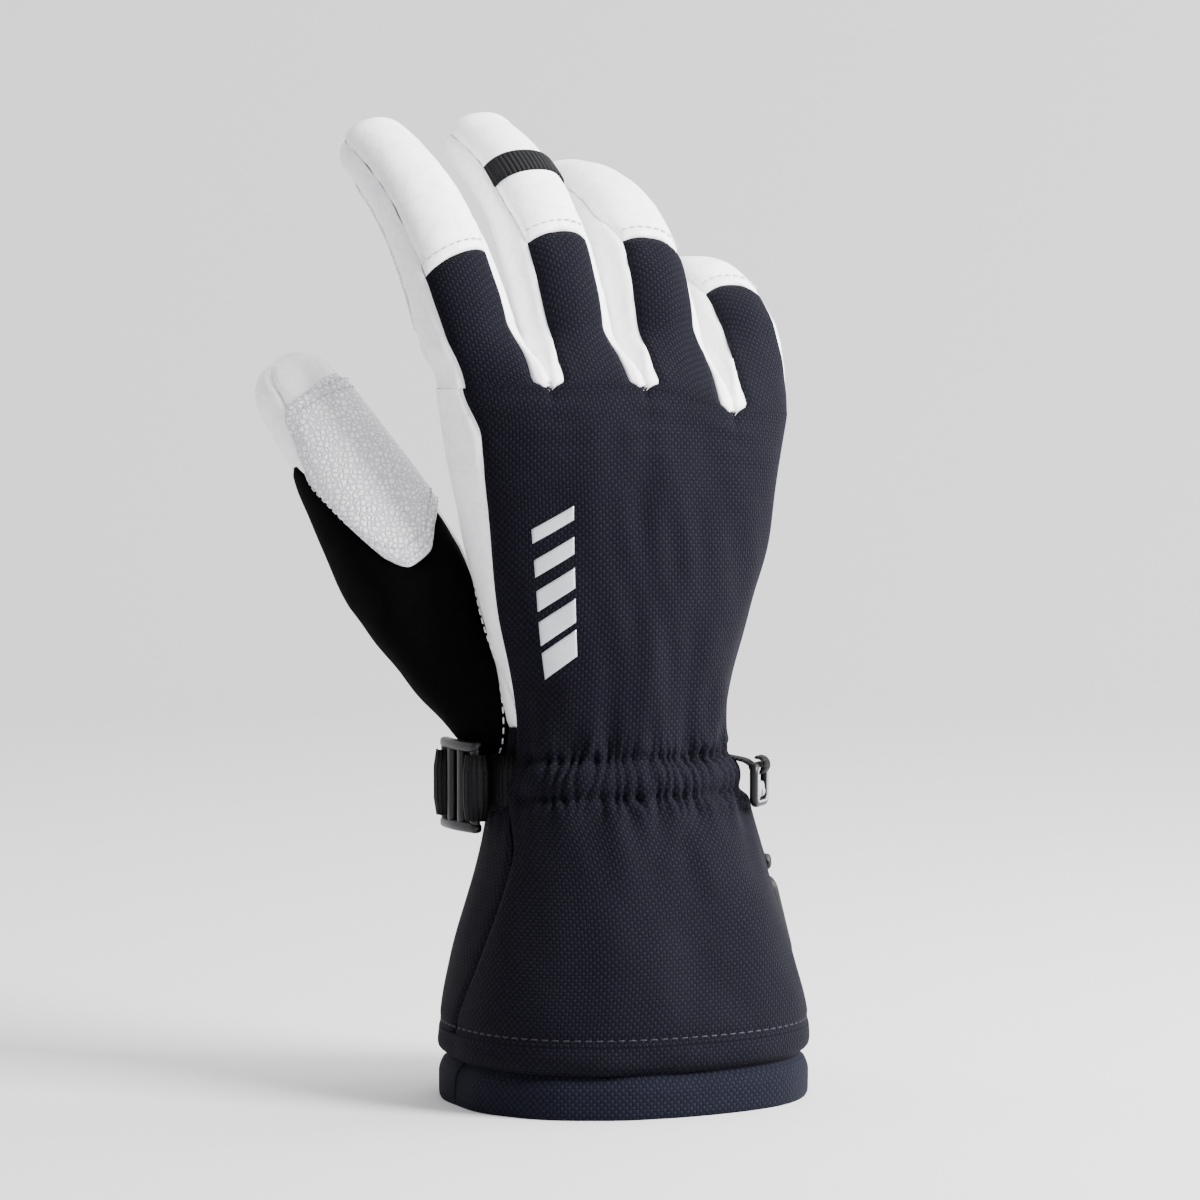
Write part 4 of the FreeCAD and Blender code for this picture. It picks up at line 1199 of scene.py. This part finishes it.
@dataclass
class HandShell:
    """The hand: white side strip and palm leather, the reflective bars and the lining."""

    mark_low: float = 121.0
    mark_high: float = 169.0
    mark_left: float = 207.0
    mark_right: float = 223.0
    bars: int = 5
    bar_gap: float = 2.0
    thinning: float = 0.9
    slant: float = 0.42

    def build(self) -> None:
        """Makes the hand's pieces and joins them to the frame."""
        left, strip = along_knots(BACK_LEFT), along_knots(STRIP_LEFT)
        right = along_knots(BACK_RIGHT)
        side = Panel(ARM.at, strip, left, level(108.0), ARM.top, puff=0.8, pucker=0.22, step=0.8)
        side.sewn = frozenset({Side.LEFT, Side.RIGHT, Side.LOW})
        side.relief = lambda u, v, points: ripples(v * 0.9, np.radians(u) * 50, 15.0, 41) * 0.3
        side.sew("side_strip", WHITE, bend=WRIST_BEND, stands_for=("hand_side_strip",))
        palm = Panel(
            ARM.at, lambda v: right(v) - 360, strip, level(107.0), ARM.top, puff=0.8, pucker=0.25, step=1.1,
            relief=self.palm_relief,
        )
        palm.sew("palm_leather", WHITE, bend=WRIST_BEND, stands_for=("hand_palm_panel",))
        heights = np.linspace(112, 201, 300)
        line, outward = trace(ARM.at, strip(heights) + 3.0, heights, 0.7)
        settle(stitch_row("side_strip_stitches", line, outward, WHITE_THREAD), WHITE_THREAD, ride="hand")
        lining = Panel(ARM.at, level(0.0), level(360.0), level(101.0), level(190.0), step=2.6, rise=-3.4, roll=0.0)
        lining.sew("hand_fleece", FLEECE, 2.0, bend=WRIST_BEND, stands_for=("hand_lining",))
        self.build_mark()

    def palm_relief(self, angle: Array, height: Array, points: Array) -> Array:
        """Creases across the palm, where the hand closes, and fuller pads beside them."""
        around = np.radians(angle) * 45.0
        creases = bell(height + around * 0.12, 186.0, 2.2) + 0.7 * bell(height - around * 0.2, 158.0, 2.4)
        return ripples(around, height, 26.0, 43) * 0.5 - creases * 0.9

    def build_mark(self) -> None:
        """Plain slanting bars of reflective film, thin to thick, pressed on the back near the thumb side."""
        share = np.linspace(0, 1, self.bars + 1)
        edges = self.mark_low + (self.mark_high - self.mark_low) * share
        panels = []
        for number in range(self.bars):
            low = edges[number] + self.bar_gap / 2
            high = edges[number + 1] - self.bar_gap / 2 - self.thinning * number
            panel = Panel(
                ARM.at, level(self.mark_left), level(self.mark_right),
                lambda u, low=low: low + (u - self.mark_left) * self.slant,
                lambda u, high=high: high + (u - self.mark_left) * self.slant,
                rise=0.62, roll=0.12, roll_width=0.4, puff=0.0, step=0.7,
            )
            panel.relief = Gauntlet().back_relief
            points, cut = panel.grid()
            panels.append((points.reshape(-1, 3), grid_faces(*points.shape[:2]), cut.reshape(-1, 2)))
        made = join("reflective_bars", panels, FILM)
        thicken(made, 0.25)
        settle(made, FILM, ride="hand", stands_for=("reflective_mark",))


@dataclass
class Finger:
    """One finger: navy back, white cap, two side walls, palm side and lining, sewn to the hand at its base."""

    name: str
    form: FingerForm
    cap: float
    cap_slope: float
    back_left: float
    back_right: float

    def __post_init__(self) -> None:
        """Sets the seam between back and cap, and the edges of the back and the cap."""
        self.seam = self.cap + self.form.lead
        self.edges = [self.edge(side, at) for side, at in ((-1, self.back_left), (1, self.back_right))]

    def edge(self, side: int, at_cap: float) -> Edge:
        """The back's edge on one side, which rounds the crotch and then spreads to the cap.

        Args:
            side: -1 towards the thumb, 1 towards the little finger.
            at_cap: Its angle at the cap's seam.

        Returns:
            Angle by distance over the crotch.
        """
        corner = abs(self.form.corner(side))
        inner = abs(self.form.cell[0] if side < 0 else self.form.cell[1]) < 60
        low = ((0, corner), (2.2, corner - 9), (9, corner - 4), (19, 43)) if inner else ((0, corner), (17, 52))
        knots = (*low, (self.seam, abs(at_cap)), (self.seam + 14, 62), (self.form.length, 70))
        return lambda above: side * curve(above, knots)

    def cap_seam(self, angle: Array) -> Array:
        """Distance of the cap's seam over the crotch, a shallow arc that slopes across the finger."""
        share = np.asarray(angle, float) / 50
        return self.seam + self.cap_slope * share - 1.2 * share**2

    def bend(self) -> tuple:
        """The two bodies and two points, from the crotch to past the axis, given to settle as the finger's bend; settle
        only bakes the pieces' transforms with it.
        """
        foot = np.array(self.form.foot)
        low = float(curve(foot[0], ARM.crotch)) + 1.0
        end = self.form.centre(np.array(15.0))
        start = foot + (end - foot) * (low - foot[2]) / (end[2] - foot[2])
        return "hand", self.name, tuple(start), tuple(end)

    def panel(self, left: Edge, right: Edge, low: Edge, high: Edge, **facts) -> Panel:
        """A panel on this finger's skin."""
        return Panel(self.form.skin, left, right, low, high, step=0.75, **facts)

    def wrinkle(self, seed: int, amount: float) -> Callable[[Array, Array, Array], Array]:
        """Leather's flex wrinkles: soft ripples that run across the finger, strongest near the knuckle."""
        def relief(angle: Array, above: Array, points: Array) -> Array:
            """Offsets in millimetres."""
            across = ripples(above, angle * 0.07, 11.0, seed) * amount
            return across + ripples(above * 0.5, angle * 0.2, 9.0, seed + 1) * amount * 0.5
        return relief

    def build(self) -> None:
        """Makes the finger's pieces, hides the CAD nodes they replace and bakes their transforms."""
        left, right = self.edges
        name, length, bend = self.name, self.form.length, self.bend()
        peak = {"pole": self.form.heading(np.array(self.form.reach)), "crowd": 1.5}
        tip, base = level(length), level(0.0)
        back = self.panel(left, right, base, self.cap_seam, relief=self.wrinkle(61, 0.12))
        back.sewn = frozenset({Side.LEFT, Side.RIGHT, Side.HIGH})
        back.sew(f"{name}_back_fabric", NAVY, bend=bend, stands_for=(f"{name}_back", f"{name}_knuckle_fold"))
        wrinkle = self.wrinkle(63, 0.13)
        cap = self.panel(left, right, self.cap_seam, tip, puff=0.8, roll=0.7, pucker=0.12, relief=wrinkle, **peak)
        cap.sew(f"{name}_cap_leather", WHITE, bend=bend, stands_for=(f"{name}_cap",))
        sides = (
            ("thumb_side", level(-125.0), left), ("little_side", right, level(125.0)),
            ("palm", level(125.0), level(235.0)),
        )
        for number, (side, first, second) in enumerate(sides):
            wrinkle = self.wrinkle(65 + 2 * number, 0.2)
            wall = self.panel(first, second, base, tip, puff=0.8, pucker=0.16, relief=wrinkle, **peak)
            node = f"{name}_palm_side" if side == "palm" else f"{name}_{side}_wall"
            if (name, side) == ("index", "thumb_side"):
                wall.sewn = ALL_SIDES - {Side.LOW}
            wall.sew(f"{name}_{side}_leather", WHITE, bend=bend, stands_for=(node,))
        around = np.linspace(-0.92, 0.92, 200)
        turned = np.where(around < 0, -around * left(self.seam), around * right(self.seam))
        line, outward = trace(self.form.skin, turned, self.cap_seam(turned) + 2.6, 0.72)
        # cap stitches in thread painted grey as the shade round each stitch
        row = stitch_row(f"{name}_cap_stitches", line, outward, SHADE_PAINTED_THREAD, 2.5, 1.8, 0.25)
        settle(row, SHADE_PAINTED_THREAD, bend=bend)
        room = level(self.form.length - 12)
        lining = self.panel(level(0.0), level(360.0), level(8.0), room, rise=-3.0, roll=0.0, puff=0.0)
        lining.step = 2.2
        lining.sew(f"{name}_fleece", FLEECE, 1.2, bend=bend, stands_for=(f"{name}_lining",))


@dataclass
class FingerTrim:
    """The webbing strip across the middle finger's cap and the grained patch on the index finger's palm side."""

    middle: Finger
    index: Finger
    strip_width: float = 7.5

    def build(self) -> None:
        """Makes both, hides the CAD nodes they replace and bakes their transforms."""
        form = self.middle.form
        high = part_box("middle_finger_strip")[1].z / MM
        along = np.linspace(0, form.reach - form.tip, 400)
        backs = form.skin(np.zeros_like(along), along + form.lead)[:, 2]
        end = float(np.interp(high, backs, along)) + form.lead + 3.4
        start = end - self.strip_width
        strip = Panel(
            form.skin, level(-62.0), level(66.0), lambda u: start - 1 + 0 * u, lambda u: end + 0 * u, rise=1.25,
            roll=0.35, roll_width=0.5, puff=0.1, step=0.6,
        )
        strip.sew("middle_webbing_strip", STRAP, 0.9, bend=self.middle.bend(), stands_for=("middle_finger_strip",))
        form = self.index.form
        patch = Panel(
            form.skin, lambda v: 128 + 0 * v, lambda v: 238 + 14 * bell(v, 50, 26), level(20.0),
            level(form.length * 0.84), rise=0.9, roll=0.6, puff=0.3, step=0.8,
        )
        patch.sew("index_grip_leather", GRAINED, 0.9, bend=self.index.bend(), stands_for=("index_grip_patch",))


@dataclass
class Thumb:
    """The thumb: black softshell root and outer side, white leather tip and palm side, and the grained grip patch."""

    form: ThumbForm
    black_top: Knots = (
        (-185, 47), (-95, 46), (-82, 45), (-70, 41), (-56, 31), (-42, 19), (-28, 9), (-10, 4), (12, 5), (34, 11),
        (60, 16),
    )
    patch_top: float = 61.0
    tip_seam: float = -46.0

    def bend(self) -> tuple:
        """The two bodies and two points within a root's width of the axis, given to settle as the thumb's bend; settle
        only bakes the pieces' transforms with it.
        """
        foot, way = np.array(self.form.foot), self.form.heading(np.array(0.0))
        return "hand", "thumb", tuple(foot - way * 9), tuple(foot + way * 9)

    def build(self) -> None:
        """Makes the thumb's pieces, hides the CAD nodes they replace and bakes their transforms."""
        form, bend = self.form, self.bend()
        top, tip = along_knots(self.black_top), level(form.reach)
        peak = form.way[-1]
        black = Panel(form.skin, level(-185.0), level(62.0), self.root_edge, top, step=0.9, puff=0.5, roll=0.7)
        black.relief = lambda u, v, points: ripples(v, u * 0.3, 24.0, 81) * 0.45
        black.sew(
            "thumb_softshell", BLACK_SHELL, bend=bend,
            stands_for=("thumb_gusset", "thumb_knuckle_fold"),
        )
        leather = {"puff": 0.8, "roll": 0.8, "pucker": 0.15, "pole": peak}
        front = Panel(form.skin, level(self.tip_seam), level(62.0), top, tip, step=0.8, crowd=1.4, **leather)
        front.relief = lambda u, v, points: ripples(v, u * 0.1, 12.0, 83) * 0.2
        front.sew("thumb_tip_leather", WHITE, bend=bend, stands_for=("thumb_back",))
        outer = Panel(form.skin, level(-185.0), level(self.tip_seam), top, tip, step=0.8, crowd=1.4, **leather)
        outer.sew("thumb_outer_leather", WHITE, bend=bend)
        palm = Panel(form.skin, level(62.0), level(175.0), self.palm_edge, tip, step=0.9, crowd=1.3, **leather)
        palm.sew("thumb_palm_leather", WHITE, bend=bend, stands_for=("thumb_palm_side",))
        room = level(form.reach - 12)
        lining = Panel(form.skin, level(0.0), level(360.0), level(-8.0), room, step=2.2, rise=-3.0, roll=0)
        lining.sew("thumb_fleece", FLEECE, 1.2, bend=bend, stands_for=("thumb_lining",))
        self.build_patch()
        self.build_stitches()

    def root_edge(self, angle: Array) -> Array:
        """The softshell's lower edge, a millimetre under the place where the skin leaves the trunk."""
        return self.form.leaving(angle) - 1.0

    def palm_edge(self, angle: Array) -> Array:
        """The palm leather's lower edge, which follows the root to 50 mm below the bending axis at most."""
        return np.maximum(self.root_edge(angle), -50.0)

    def patch_low(self, angle: Array) -> Array:
        """The patch's lower edge, just over the softshell's upper edge."""
        return curve(angle, self.black_top) + 0.8

    def patch_high(self, angle: Array) -> Array:
        """The patch's upper edge, which slopes a little across the thumb."""
        return self.patch_top + 2.0 * np.sin(np.radians(np.clip(angle + 20, -90, 90)))

    def patch_left(self, along: Array) -> Array:
        """The patch's edge towards the back of the thumb, leaning in as it rises and rounded at the top."""
        return -66 + 0.5 * np.clip(along - 38, 0, 99) + 22 * np.clip((along - self.patch_top + 5) / 5, 0, 1) ** 2.2

    def patch_right(self, along: Array) -> Array:
        """The patch's edge towards the palm, rounded at its upper corner."""
        return 84 - 30 * np.clip((along - self.patch_top + 6) / 6, 0, 1) ** 2.2 + 0 * along

    def build_patch(self) -> None:
        """The grip patch, a millimetre proud, with two rows of stitches along its edges."""
        patch = Panel(
            self.form.skin, self.patch_left, self.patch_right, self.patch_low, self.patch_high, rise=1.5, roll=0.8,
            roll_width=1.0, puff=0.5, step=0.7,
        )
        patch.sew("thumb_grip_leather", GRAINED, 1.0, bend=self.bend(), stands_for=("thumb_grip_patch",))

    def build_stitches(self) -> None:
        """Stitches round the patch, along the softshell's edge, and along the seam to the hand."""
        for number, inset in enumerate((1.6, 4.6), start=1):
            degrees = math.degrees(inset / 15)
            bottom = np.linspace(60, self.patch_left(np.array(38.0)) + degrees * 1.2, 150)
            along = np.linspace(float(curve(bottom[-1], self.black_top)) + 2.5 + inset, self.patch_top - 5, 50)
            top = np.linspace(float(self.patch_left(along[-1])) + degrees + 8, 62, 70)
            u = np.concatenate([bottom, self.patch_left(along) + degrees, top])
            v = np.concatenate([self.patch_low(bottom) + inset, along, np.full_like(top, self.patch_top - inset + 0.6)])
            line, outward = trace(self.form.skin, u, v, 2.05)
            # patch stitches in thread painted grey as the shade round each stitch
            row = stitch_row(f"thumb_patch_stitches_{number}", line, outward, SHADE_PAINTED_THREAD, 2.4, 1.7, 0.26)
            settle(row, SHADE_PAINTED_THREAD, bend=self.bend())
        turned = np.linspace(-80, 40, 200)
        line, outward = trace(self.form.skin, turned, self.form.leaving(turned) + 2.4, 0.5)
        row = stitch_row("thumb_root_stitches", line, outward, WHITE_THREAD, 3.0, 2.0, 0.24)
        settle(row, WHITE_THREAD, bend=self.bend())


# --------------------------------------------------------------------------------------------------
# webbing and moulded hardware
# --------------------------------------------------------------------------------------------------
def smooth_path(points: Sequence, count: int) -> Array:
    """A smooth line through points, each coordinate a limited cubic of the length gone.

    Args:
        points: The points in millimetres.
        count: Points wanted.

    Returns:
        The line's points.
    """
    points = np.array(points, float)
    gone = np.concatenate([[0], np.linalg.norm(np.diff(points, axis=0), axis=-1).cumsum()])
    places = np.linspace(0, gone[-1], count)
    return np.stack([curve(places, list(zip(gone, points[:, k]))) for k in range(3)], -1)


def eye_path(middle: Array, radius: float, first: Array, second: Array, start: float, turn: float) -> Array:
    """Part of a circle round a bar, in the plane of two directions, angles in degrees."""
    angle = np.radians(np.linspace(start, start + turn, 28))[:, None]
    return middle + radius * (first * np.cos(angle) + second * np.sin(angle))


def rounded_ring(middle: Array, first: Array, second: Array, half: tuple[float, float], corner: float) -> Array:
    """The centre line of a rounded rectangle.

    Args:
        middle: Its middle.
        first: Direction of its first side.
        second: Direction of its second side.
        half: Half sizes along the two.
        corner: Radius of its corners.

    Returns:
        Points once round, without the first repeated.
    """
    turn = np.arange(72) / 72 * math.tau + 0.01
    bend = np.stack([np.cos(turn), np.sin(turn)], -1)
    flat = np.sign(bend) * (np.array(half) - corner) + corner * bend
    return middle + flat[:, :1] * first + flat[:, 1:] * second


UP = np.array([0.0, 0.0, 1.0])


@dataclass
class WristStrap:
    """The wrist strap: webbing from the side seam round the buckle's first bar, the ladder buckle and the tail."""

    bar: tuple[float, float, float] = (-44.04, 6.0, 90.0)
    length: float = 24.0
    bar_width: float = 3.4
    wall: float = 3.2
    height: float = 26.2
    webbing: float = 19.0
    webbing_wall: float = 1.5
    bow: float = 1.6

    def bowed(self, y: Array) -> Array:
        """How far the buckle curves outwards at a place along it: a square law from its middle."""
        share = (y - self.bar[1] - self.length / 2 + self.bar_width / 2) / (self.length / 2)
        return self.bar[0] - self.bow * (1 - share**2)

    def build(self) -> None:
        """Makes the strap's pieces and joins them to the frame."""
        self.build_buckle()
        self.build_webbing()

    def build_buckle(self) -> None:
        """Four upright bars between two bowed rails, each a rounded form."""
        parts = []
        half = self.height / 2 - 1.5
        for place in np.linspace(0, self.length - self.bar_width, 4):
            y = self.bar[1] + place
            heights = np.concatenate([[-half], np.linspace(-half + 0.4, half - 0.4, 24), [half]])
            line = np.stack([np.full(26, float(self.bowed(np.array(y)))), np.full(26, y), self.bar[2] + heights], -1)
            side = np.tile([0.0, 1.0, 0.0], (26, 1))
            parts.append(sweep(line, side, self.bar_width / 2, self.wall * 0.4, 2.6, 18))
        for end in (-1, 1):
            ys = self.bar[1] + np.concatenate([[-1.7], np.linspace(-1.3, self.length - 2.1, 30), [self.length - 1.7]])
            line = np.stack([self.bowed(ys), ys, np.full(len(ys), self.bar[2] + end * (self.height / 2 - 1.5))], -1)
            parts.append(sweep(line, np.tile(UP, (len(ys), 1)), 1.5, self.wall * 0.52, 3.2, 20))
        settle(join("buckle_ladder", parts, ACETAL), ACETAL, ride="buckle", stands_for=("ladder_buckle",))

    def band(self, name: str, line: Array, finish: Finish) -> bpy.types.Object:
        """Webbing that follows a line, standing on edge.

        Args:
            name: The piece's name.
            line: Its centre line.
            finish: What it is woven from.

        Returns:
            The object.
        """
        upright = np.tile(UP, (len(line), 1))
        return join(name, [sweep(line, upright, self.webbing / 2, self.webbing_wall / 2, 7.0, 40)], finish)

    def build_webbing(self) -> None:
        """The strap and its tail, each turned round a bar of the buckle, with zigzag bar tacks."""
        bar, x, y = np.array(self.bar), np.array([1.0, 0, 0]), np.array([0, 1.0, 0])
        radius = math.hypot(self.bar_width, self.wall) / 2 + 0.2 + self.webbing_wall / 2
        height = np.array(90.0)
        first = ARM.at(np.array(188.0), height) * [0.86, 1, 1]
        second = ARM.at(np.array(180.0), height) + [-0.9, 0, 0]
        run = smooth_path([first, second, bar + [radius + 1.0, 3.2, 0], bar + [radius, 3.8, 0]], 26)
        line = np.concatenate([run, eye_path(bar, radius, x, y, 75, 250)])
        settle(self.band("strap_webbing", line, STRAP), STRAP, ride="gauntlet", stands_for=("wrist_strap",))
        far = bar + [0, self.length - self.bar_width, 0]
        last = [ARM.at(np.array(a), height) + [0, 0.4, 0] for a in (112.0, 103.0, 92.0)]
        inside = ARM.at(np.array(84.0), height) * [1, 0.9, 1]
        run = smooth_path([far + [radius, 0, 0], far + [radius + 1.4, 4.5, 0], [far[0] + 9, 32, 90], *last, inside], 60)
        line = np.concatenate([eye_path(far, radius, x, y, -255, 247), run])
        tail = self.band("strap_tail_webbing", line, STRAP)
        start, end = run[-1], far + [0, 2.0, 0]
        settle(tail, STRAP, bend=("gauntlet", "buckle", tuple(start), tuple(end)), stands_for=("strap_tail",))
        tack = run[8:16]
        outward = np.array([-0.6, -0.8, 0.0])
        rows = np.linspace(-7.5, 7.5, 26)
        zigzag = np.stack([np.where(np.arange(26) % 2 == 0, 0.0, 1.0), rows], -1)
        ends = tack[2], tack[6]
        line = ends[0] + (ends[1] - ends[0]) * zigzag[:, :1] + UP * zigzag[:, 1:] + outward * 0.9
        made = stitch_row("strap_bar_tack", line, np.tile(outward, (26, 1)), NAVY_THREAD, 1.9, 1.6, 0.22)
        settle(made, NAVY_THREAD, ride="gauntlet")


@dataclass
class GloveClip:
    """The glove clip beside the wrist: a hanging frame, its spring tongue and the webbing loop it hangs from."""

    pivot: tuple[float, float, float] = (34.16, -18.9, 95.5)
    width: float = 12.5
    length: float = 13.0
    bar: float = 2.0
    wall: float = 2.4

    def build(self) -> None:
        """Makes the clip's pieces and joins them to the frame."""
        along = np.array([math.sqrt(0.5), math.sqrt(0.5), 0.0])
        out = np.array([math.sqrt(0.5), -math.sqrt(0.5), 0.0])
        pivot = np.array(self.pivot)
        middle = pivot - UP * (self.length / 2 - self.bar / 2)
        half = (self.width - self.bar) / 2, (self.length - self.bar) / 2
        line = rounded_ring(middle, along, UP, half, 2.2)
        flat = np.tile(out, (len(line), 1))
        ring = sweep(line, flat, self.wall / 2, self.bar / 2, 2.6, 18, closed=True)
        settle(join("clip_ring", [ring], ACETAL), ACETAL, ride="clip", stands_for=("clip_frame",))
        line = rounded_ring(middle + out * 0.95, along, UP, (half[0] - 0.55, half[1] - 0.55), 1.7)
        lip = sweep(line, flat, 0.4, 0.32, 2.2, 12, closed=True)
        settle(join("clip_ring_lip", [lip], GREY_ACETAL), GREY_ACETAL, ride="clip")
        tongue = smooth_path([pivot - UP * 4.6, pivot - UP * 7.0 + out * 0.35, pivot - UP * 9.4], 16)
        plate = sweep(tongue, np.tile(along, (16, 1)), np.linspace(3.2, 2.6, 16), 0.75, 3.0, 18)
        bent = [pivot - UP * 6.0 + out * 0.7, pivot - UP * 7.6 + out * 1.3, pivot - UP * 9.0 + out * 0.8]
        hook = smooth_path(bent, 12)
        rib = sweep(hook, np.tile(along, (12, 1)), 1.0, 0.4, 2.2, 12)
        made = join("clip_spring_tongue", [plate, rib], GREY_ACETAL)
        settle(made, GREY_ACETAL, ride="tongue", stands_for=("clip_tongue",))
        radius = math.hypot(self.bar, self.wall) / 2 + 0.7
        eye = eye_path(pivot, radius, -out, UP, 0, -300)[::-1]
        inwards = [pivot - out * radius, pivot - out * (radius + 2) + UP * 1.2, pivot - out * (radius + 9) + UP * 2.4]
        run = smooth_path(inwards, 12)
        loop = sweep(np.concatenate([eye, run[1:]]), np.tile(along, (39, 1)), 3.3, 0.5, 6.0, 26)
        settle(join("clip_loop_webbing", [loop], STRAP), STRAP, ride="gauntlet", stands_for=("clip_webbing",))


@dataclass
class PullTab:
    """The drawcord's moulded pull tab on the little-finger side, ribbed for grip, and its anchor."""

    hinge: tuple[float, float, float] = (45.09, -2.0, 61.0)
    lean: float = 0.268
    width: float = 9.0
    length: float = 25.0
    wall: float = 3.0

    def build(self) -> None:
        """Makes the tab's pieces and joins them to the frame."""
        hinge = np.array(self.hinge)
        down = unit(np.array([self.lean, 0.0, -1.0]))
        along = np.array([0.0, 1.0, 0.0])
        out = np.cross(along, -down)
        middle = hinge + down * (self.length / 2)
        ring = rounded_ring(middle, along, -down, (self.width / 2 - 1.3, self.length / 2 - 1.3), 2.6)
        flat = np.tile(out, (len(ring), 1))
        parts = [sweep(ring, flat, self.wall / 2, 1.3, 2.8, 18, closed=True)]
        web = smooth_path([hinge + down * 1.5, middle, hinge + down * (self.length - 12)], 12)
        parts.append(sweep(web, np.tile(along, (12, 1)), self.width / 2 - 1.6, self.wall * 0.3, 4.0, 20))
        for place in np.arange(3.0, self.length - 12, 1.9):
            spot = hinge + down * place
            rib = spot + out * 0.7 + along * np.linspace(-2.6, 2.6, 9)[:, None]
            parts.append(sweep(rib, np.tile(down, (9, 1)), 0.5, 0.5, 2.0, 10))
        settle(join("tab_grip", parts, RUBBER), RUBBER, ride="tab", stands_for=("pull_tab",))
        foot = hinge + np.array([-0.9, 0.0, 4.5])
        block = foot + along * np.linspace(-4.2, 4.2, 12)[:, None]
        block = sweep(block, np.tile(UP, (12, 1)), 2.3, 1.5, 3.5, 20)
        cord = smooth_path([hinge + [-0.9, 0, 5.5], hinge + [-2.2, 0, 9.0], hinge + [-6.5, 0, 14.0]], 16)
        strand = sweep(cord, np.tile(along, (16, 1)), 1.3, 0.9, 2.0, 14)
        made = join("tab_holder", [block, strand], RUBBER)
        settle(made, RUBBER, ride="gauntlet", stands_for=("tab_anchor",))


# --------------------------------------------------------------------------------------------------
# studio
# --------------------------------------------------------------------------------------------------
@dataclass
class Lamp:
    """A soft square lamp aimed at the glove, or at a place of its own."""

    name: str
    place: tuple[float, float, float]
    size: float
    power: float
    colour: str = "FFFFFF"
    own_aim: tuple[float, float, float] | None = None

    def build(self, aim: Vector) -> None:
        """Hangs the lamp."""
        data = bpy.data.lights.new(self.name, "AREA")
        data.shape, data.size, data.energy = "SQUARE", self.size, self.power
        data.color = linear(self.colour)[:3]
        made = bpy.data.objects.new(self.name, data)
        made.location = self.place
        made.rotation_mode = "QUATERNION"
        aim = Vector(self.own_aim) if self.own_aim else aim
        made.rotation_quaternion = (aim - Vector(self.place)).to_track_quat("-Z", "Y")
        bpy.context.scene.collection.objects.link(made)


@dataclass
class Studio:
    """A pale paper sweep, soft lamps, and the camera a little to the thumb's side of the back."""

    azimuth: float = -26.0
    elevation: float = 3.0
    distance: float = 1.25
    aim: tuple[float, float, float] = (0.0, 0.008, 0.142)
    lens: float = 129.3
    lamps: tuple = (
        Lamp("key_softbox", (0.62, -0.75, 0.75), 0.45, 58.0),
        Lamp("side_softbox", (1.0, -0.2, 0.5), 0.6, 12.0),
        Lamp("fill_softbox", (-1.0, -0.9, 0.5), 1.2, 0.8),
        Lamp("top_softbox", (0.25, 0.1, 1.2), 0.8, 14.0),
        Lamp("paper_softbox_right", (1.3, 0.6, 1.3), 0.8, 40.0, own_aim=(0.9, 2.4, 0.7)),
        Lamp("paper_softbox_left", (-0.9, 0.7, 1.3), 0.8, 16.0, own_aim=(0.3, 2.4, 0.6)),
    )
    surround: str = "D3D2D3"
    surround_light: float = 0.55

    def build(self) -> None:
        """Makes the floor, lamps, surround and camera."""
        turn = np.radians(np.linspace(0, 90, 20))
        reach = np.concatenate([[0.01, 0.3, 0.8], 1.4 + 1.2 * np.sin(turn), [2.6]]) / MM
        rise = np.concatenate([[0, 0, 0], 1.2 - 1.2 * np.cos(turn), [3.4]]) / MM
        around = np.radians(np.arange(0, 361, 5.0))[:, None]
        points = np.stack([reach * np.cos(around), reach * np.sin(around), rise + 0 * around], -1)
        faces = grid_faces(*points.shape[:2])[:, ::-1]
        make_piece("paper_sweep", points.reshape(-1, 3), faces, PAPER)
        aim = Vector(self.aim)
        for lamp in self.lamps:
            lamp.build(aim)
        world = bpy.data.worlds.new("studio_surround")
        world.use_nodes = True
        background = world.node_tree.nodes["Background"]
        background.inputs["Color"].default_value = linear(self.surround)
        background.inputs["Strength"].default_value = self.surround_light
        bpy.context.scene.world = world
        data = bpy.data.cameras.new("studio_camera")
        data.lens, data.sensor_width = self.lens, 36.0
        data.shift_x, data.shift_y = -0.01, 0.0017
        a, e = math.radians(self.azimuth), math.radians(self.elevation)
        back = Vector((math.sin(a) * math.cos(e), -math.cos(a) * math.cos(e), math.sin(e)))
        camera = bpy.data.objects.new("studio_camera", data)
        camera.location = aim + back * self.distance
        camera.rotation_mode = "QUATERNION"
        camera.rotation_quaternion = (-back).to_track_quat("-Z", "Y")
        bpy.context.scene.collection.objects.link(camera)
        bpy.context.scene.camera = camera


def build_fingers() -> list[Finger]:
    """The four fingers, from the index to the little finger.

    Returns:
        The built fingers.
    """
    rows = (
        ("index", -46.05, -10.0, (11.0, 64.0), 92.0, 0.0, (-99.0, -31.8), 31.0, 1.5, -58.0, 48.0),
        ("middle", -17.55, -4.5, (8.0, 70.0), 97.0, 0.0, (-31.8, -3.3), 37.0, 0.3, -48.0, 52.0),
        ("ring", 10.95, -1.2, (14.0, 88.0), 96.0, 0.0, (-3.3, 25.2), 35.5, -1.0, -38.0, 66.0),
        ("little", 39.45, 0.0, (28.0, 100.0), 60.0, 1.0, (25.2, 99.0), 22.5, -0.6, -50.0, 50.0),
    )
    fingers = []
    for name, x, splay, curl, reach, slim, cell, cap, slope, left, right in rows:
        form = FingerForm((x, 1.0, 208.0), splay, curl, reach, 13.3 - slim, 13.0 - slim, 10.5 - slim, cell=cell)
        finger = Finger(name, form, cap, slope, left, right)
        finger.build()
        fingers.append(finger)
    return fingers


def main() -> None:
    """Builds the glove and the studio."""
    logging.basicConfig(level=logging.INFO, format="%(name)s: %(message)s")
    Gauntlet().build()
    HandShell().build()
    index, middle, _ring, _little = build_fingers()
    FingerTrim(middle, index).build()
    thumb = ThumbForm((-55.79, 26.0, 147.3), -25.0, (15.0, 25.0), 76.0, 17.5, 17.5, 11.5)
    Thumb(thumb).build()
    WristStrap().build()
    GloveClip().build()
    PullTab().build()
    Studio().build()


if __name__ == "__main__":
    main()
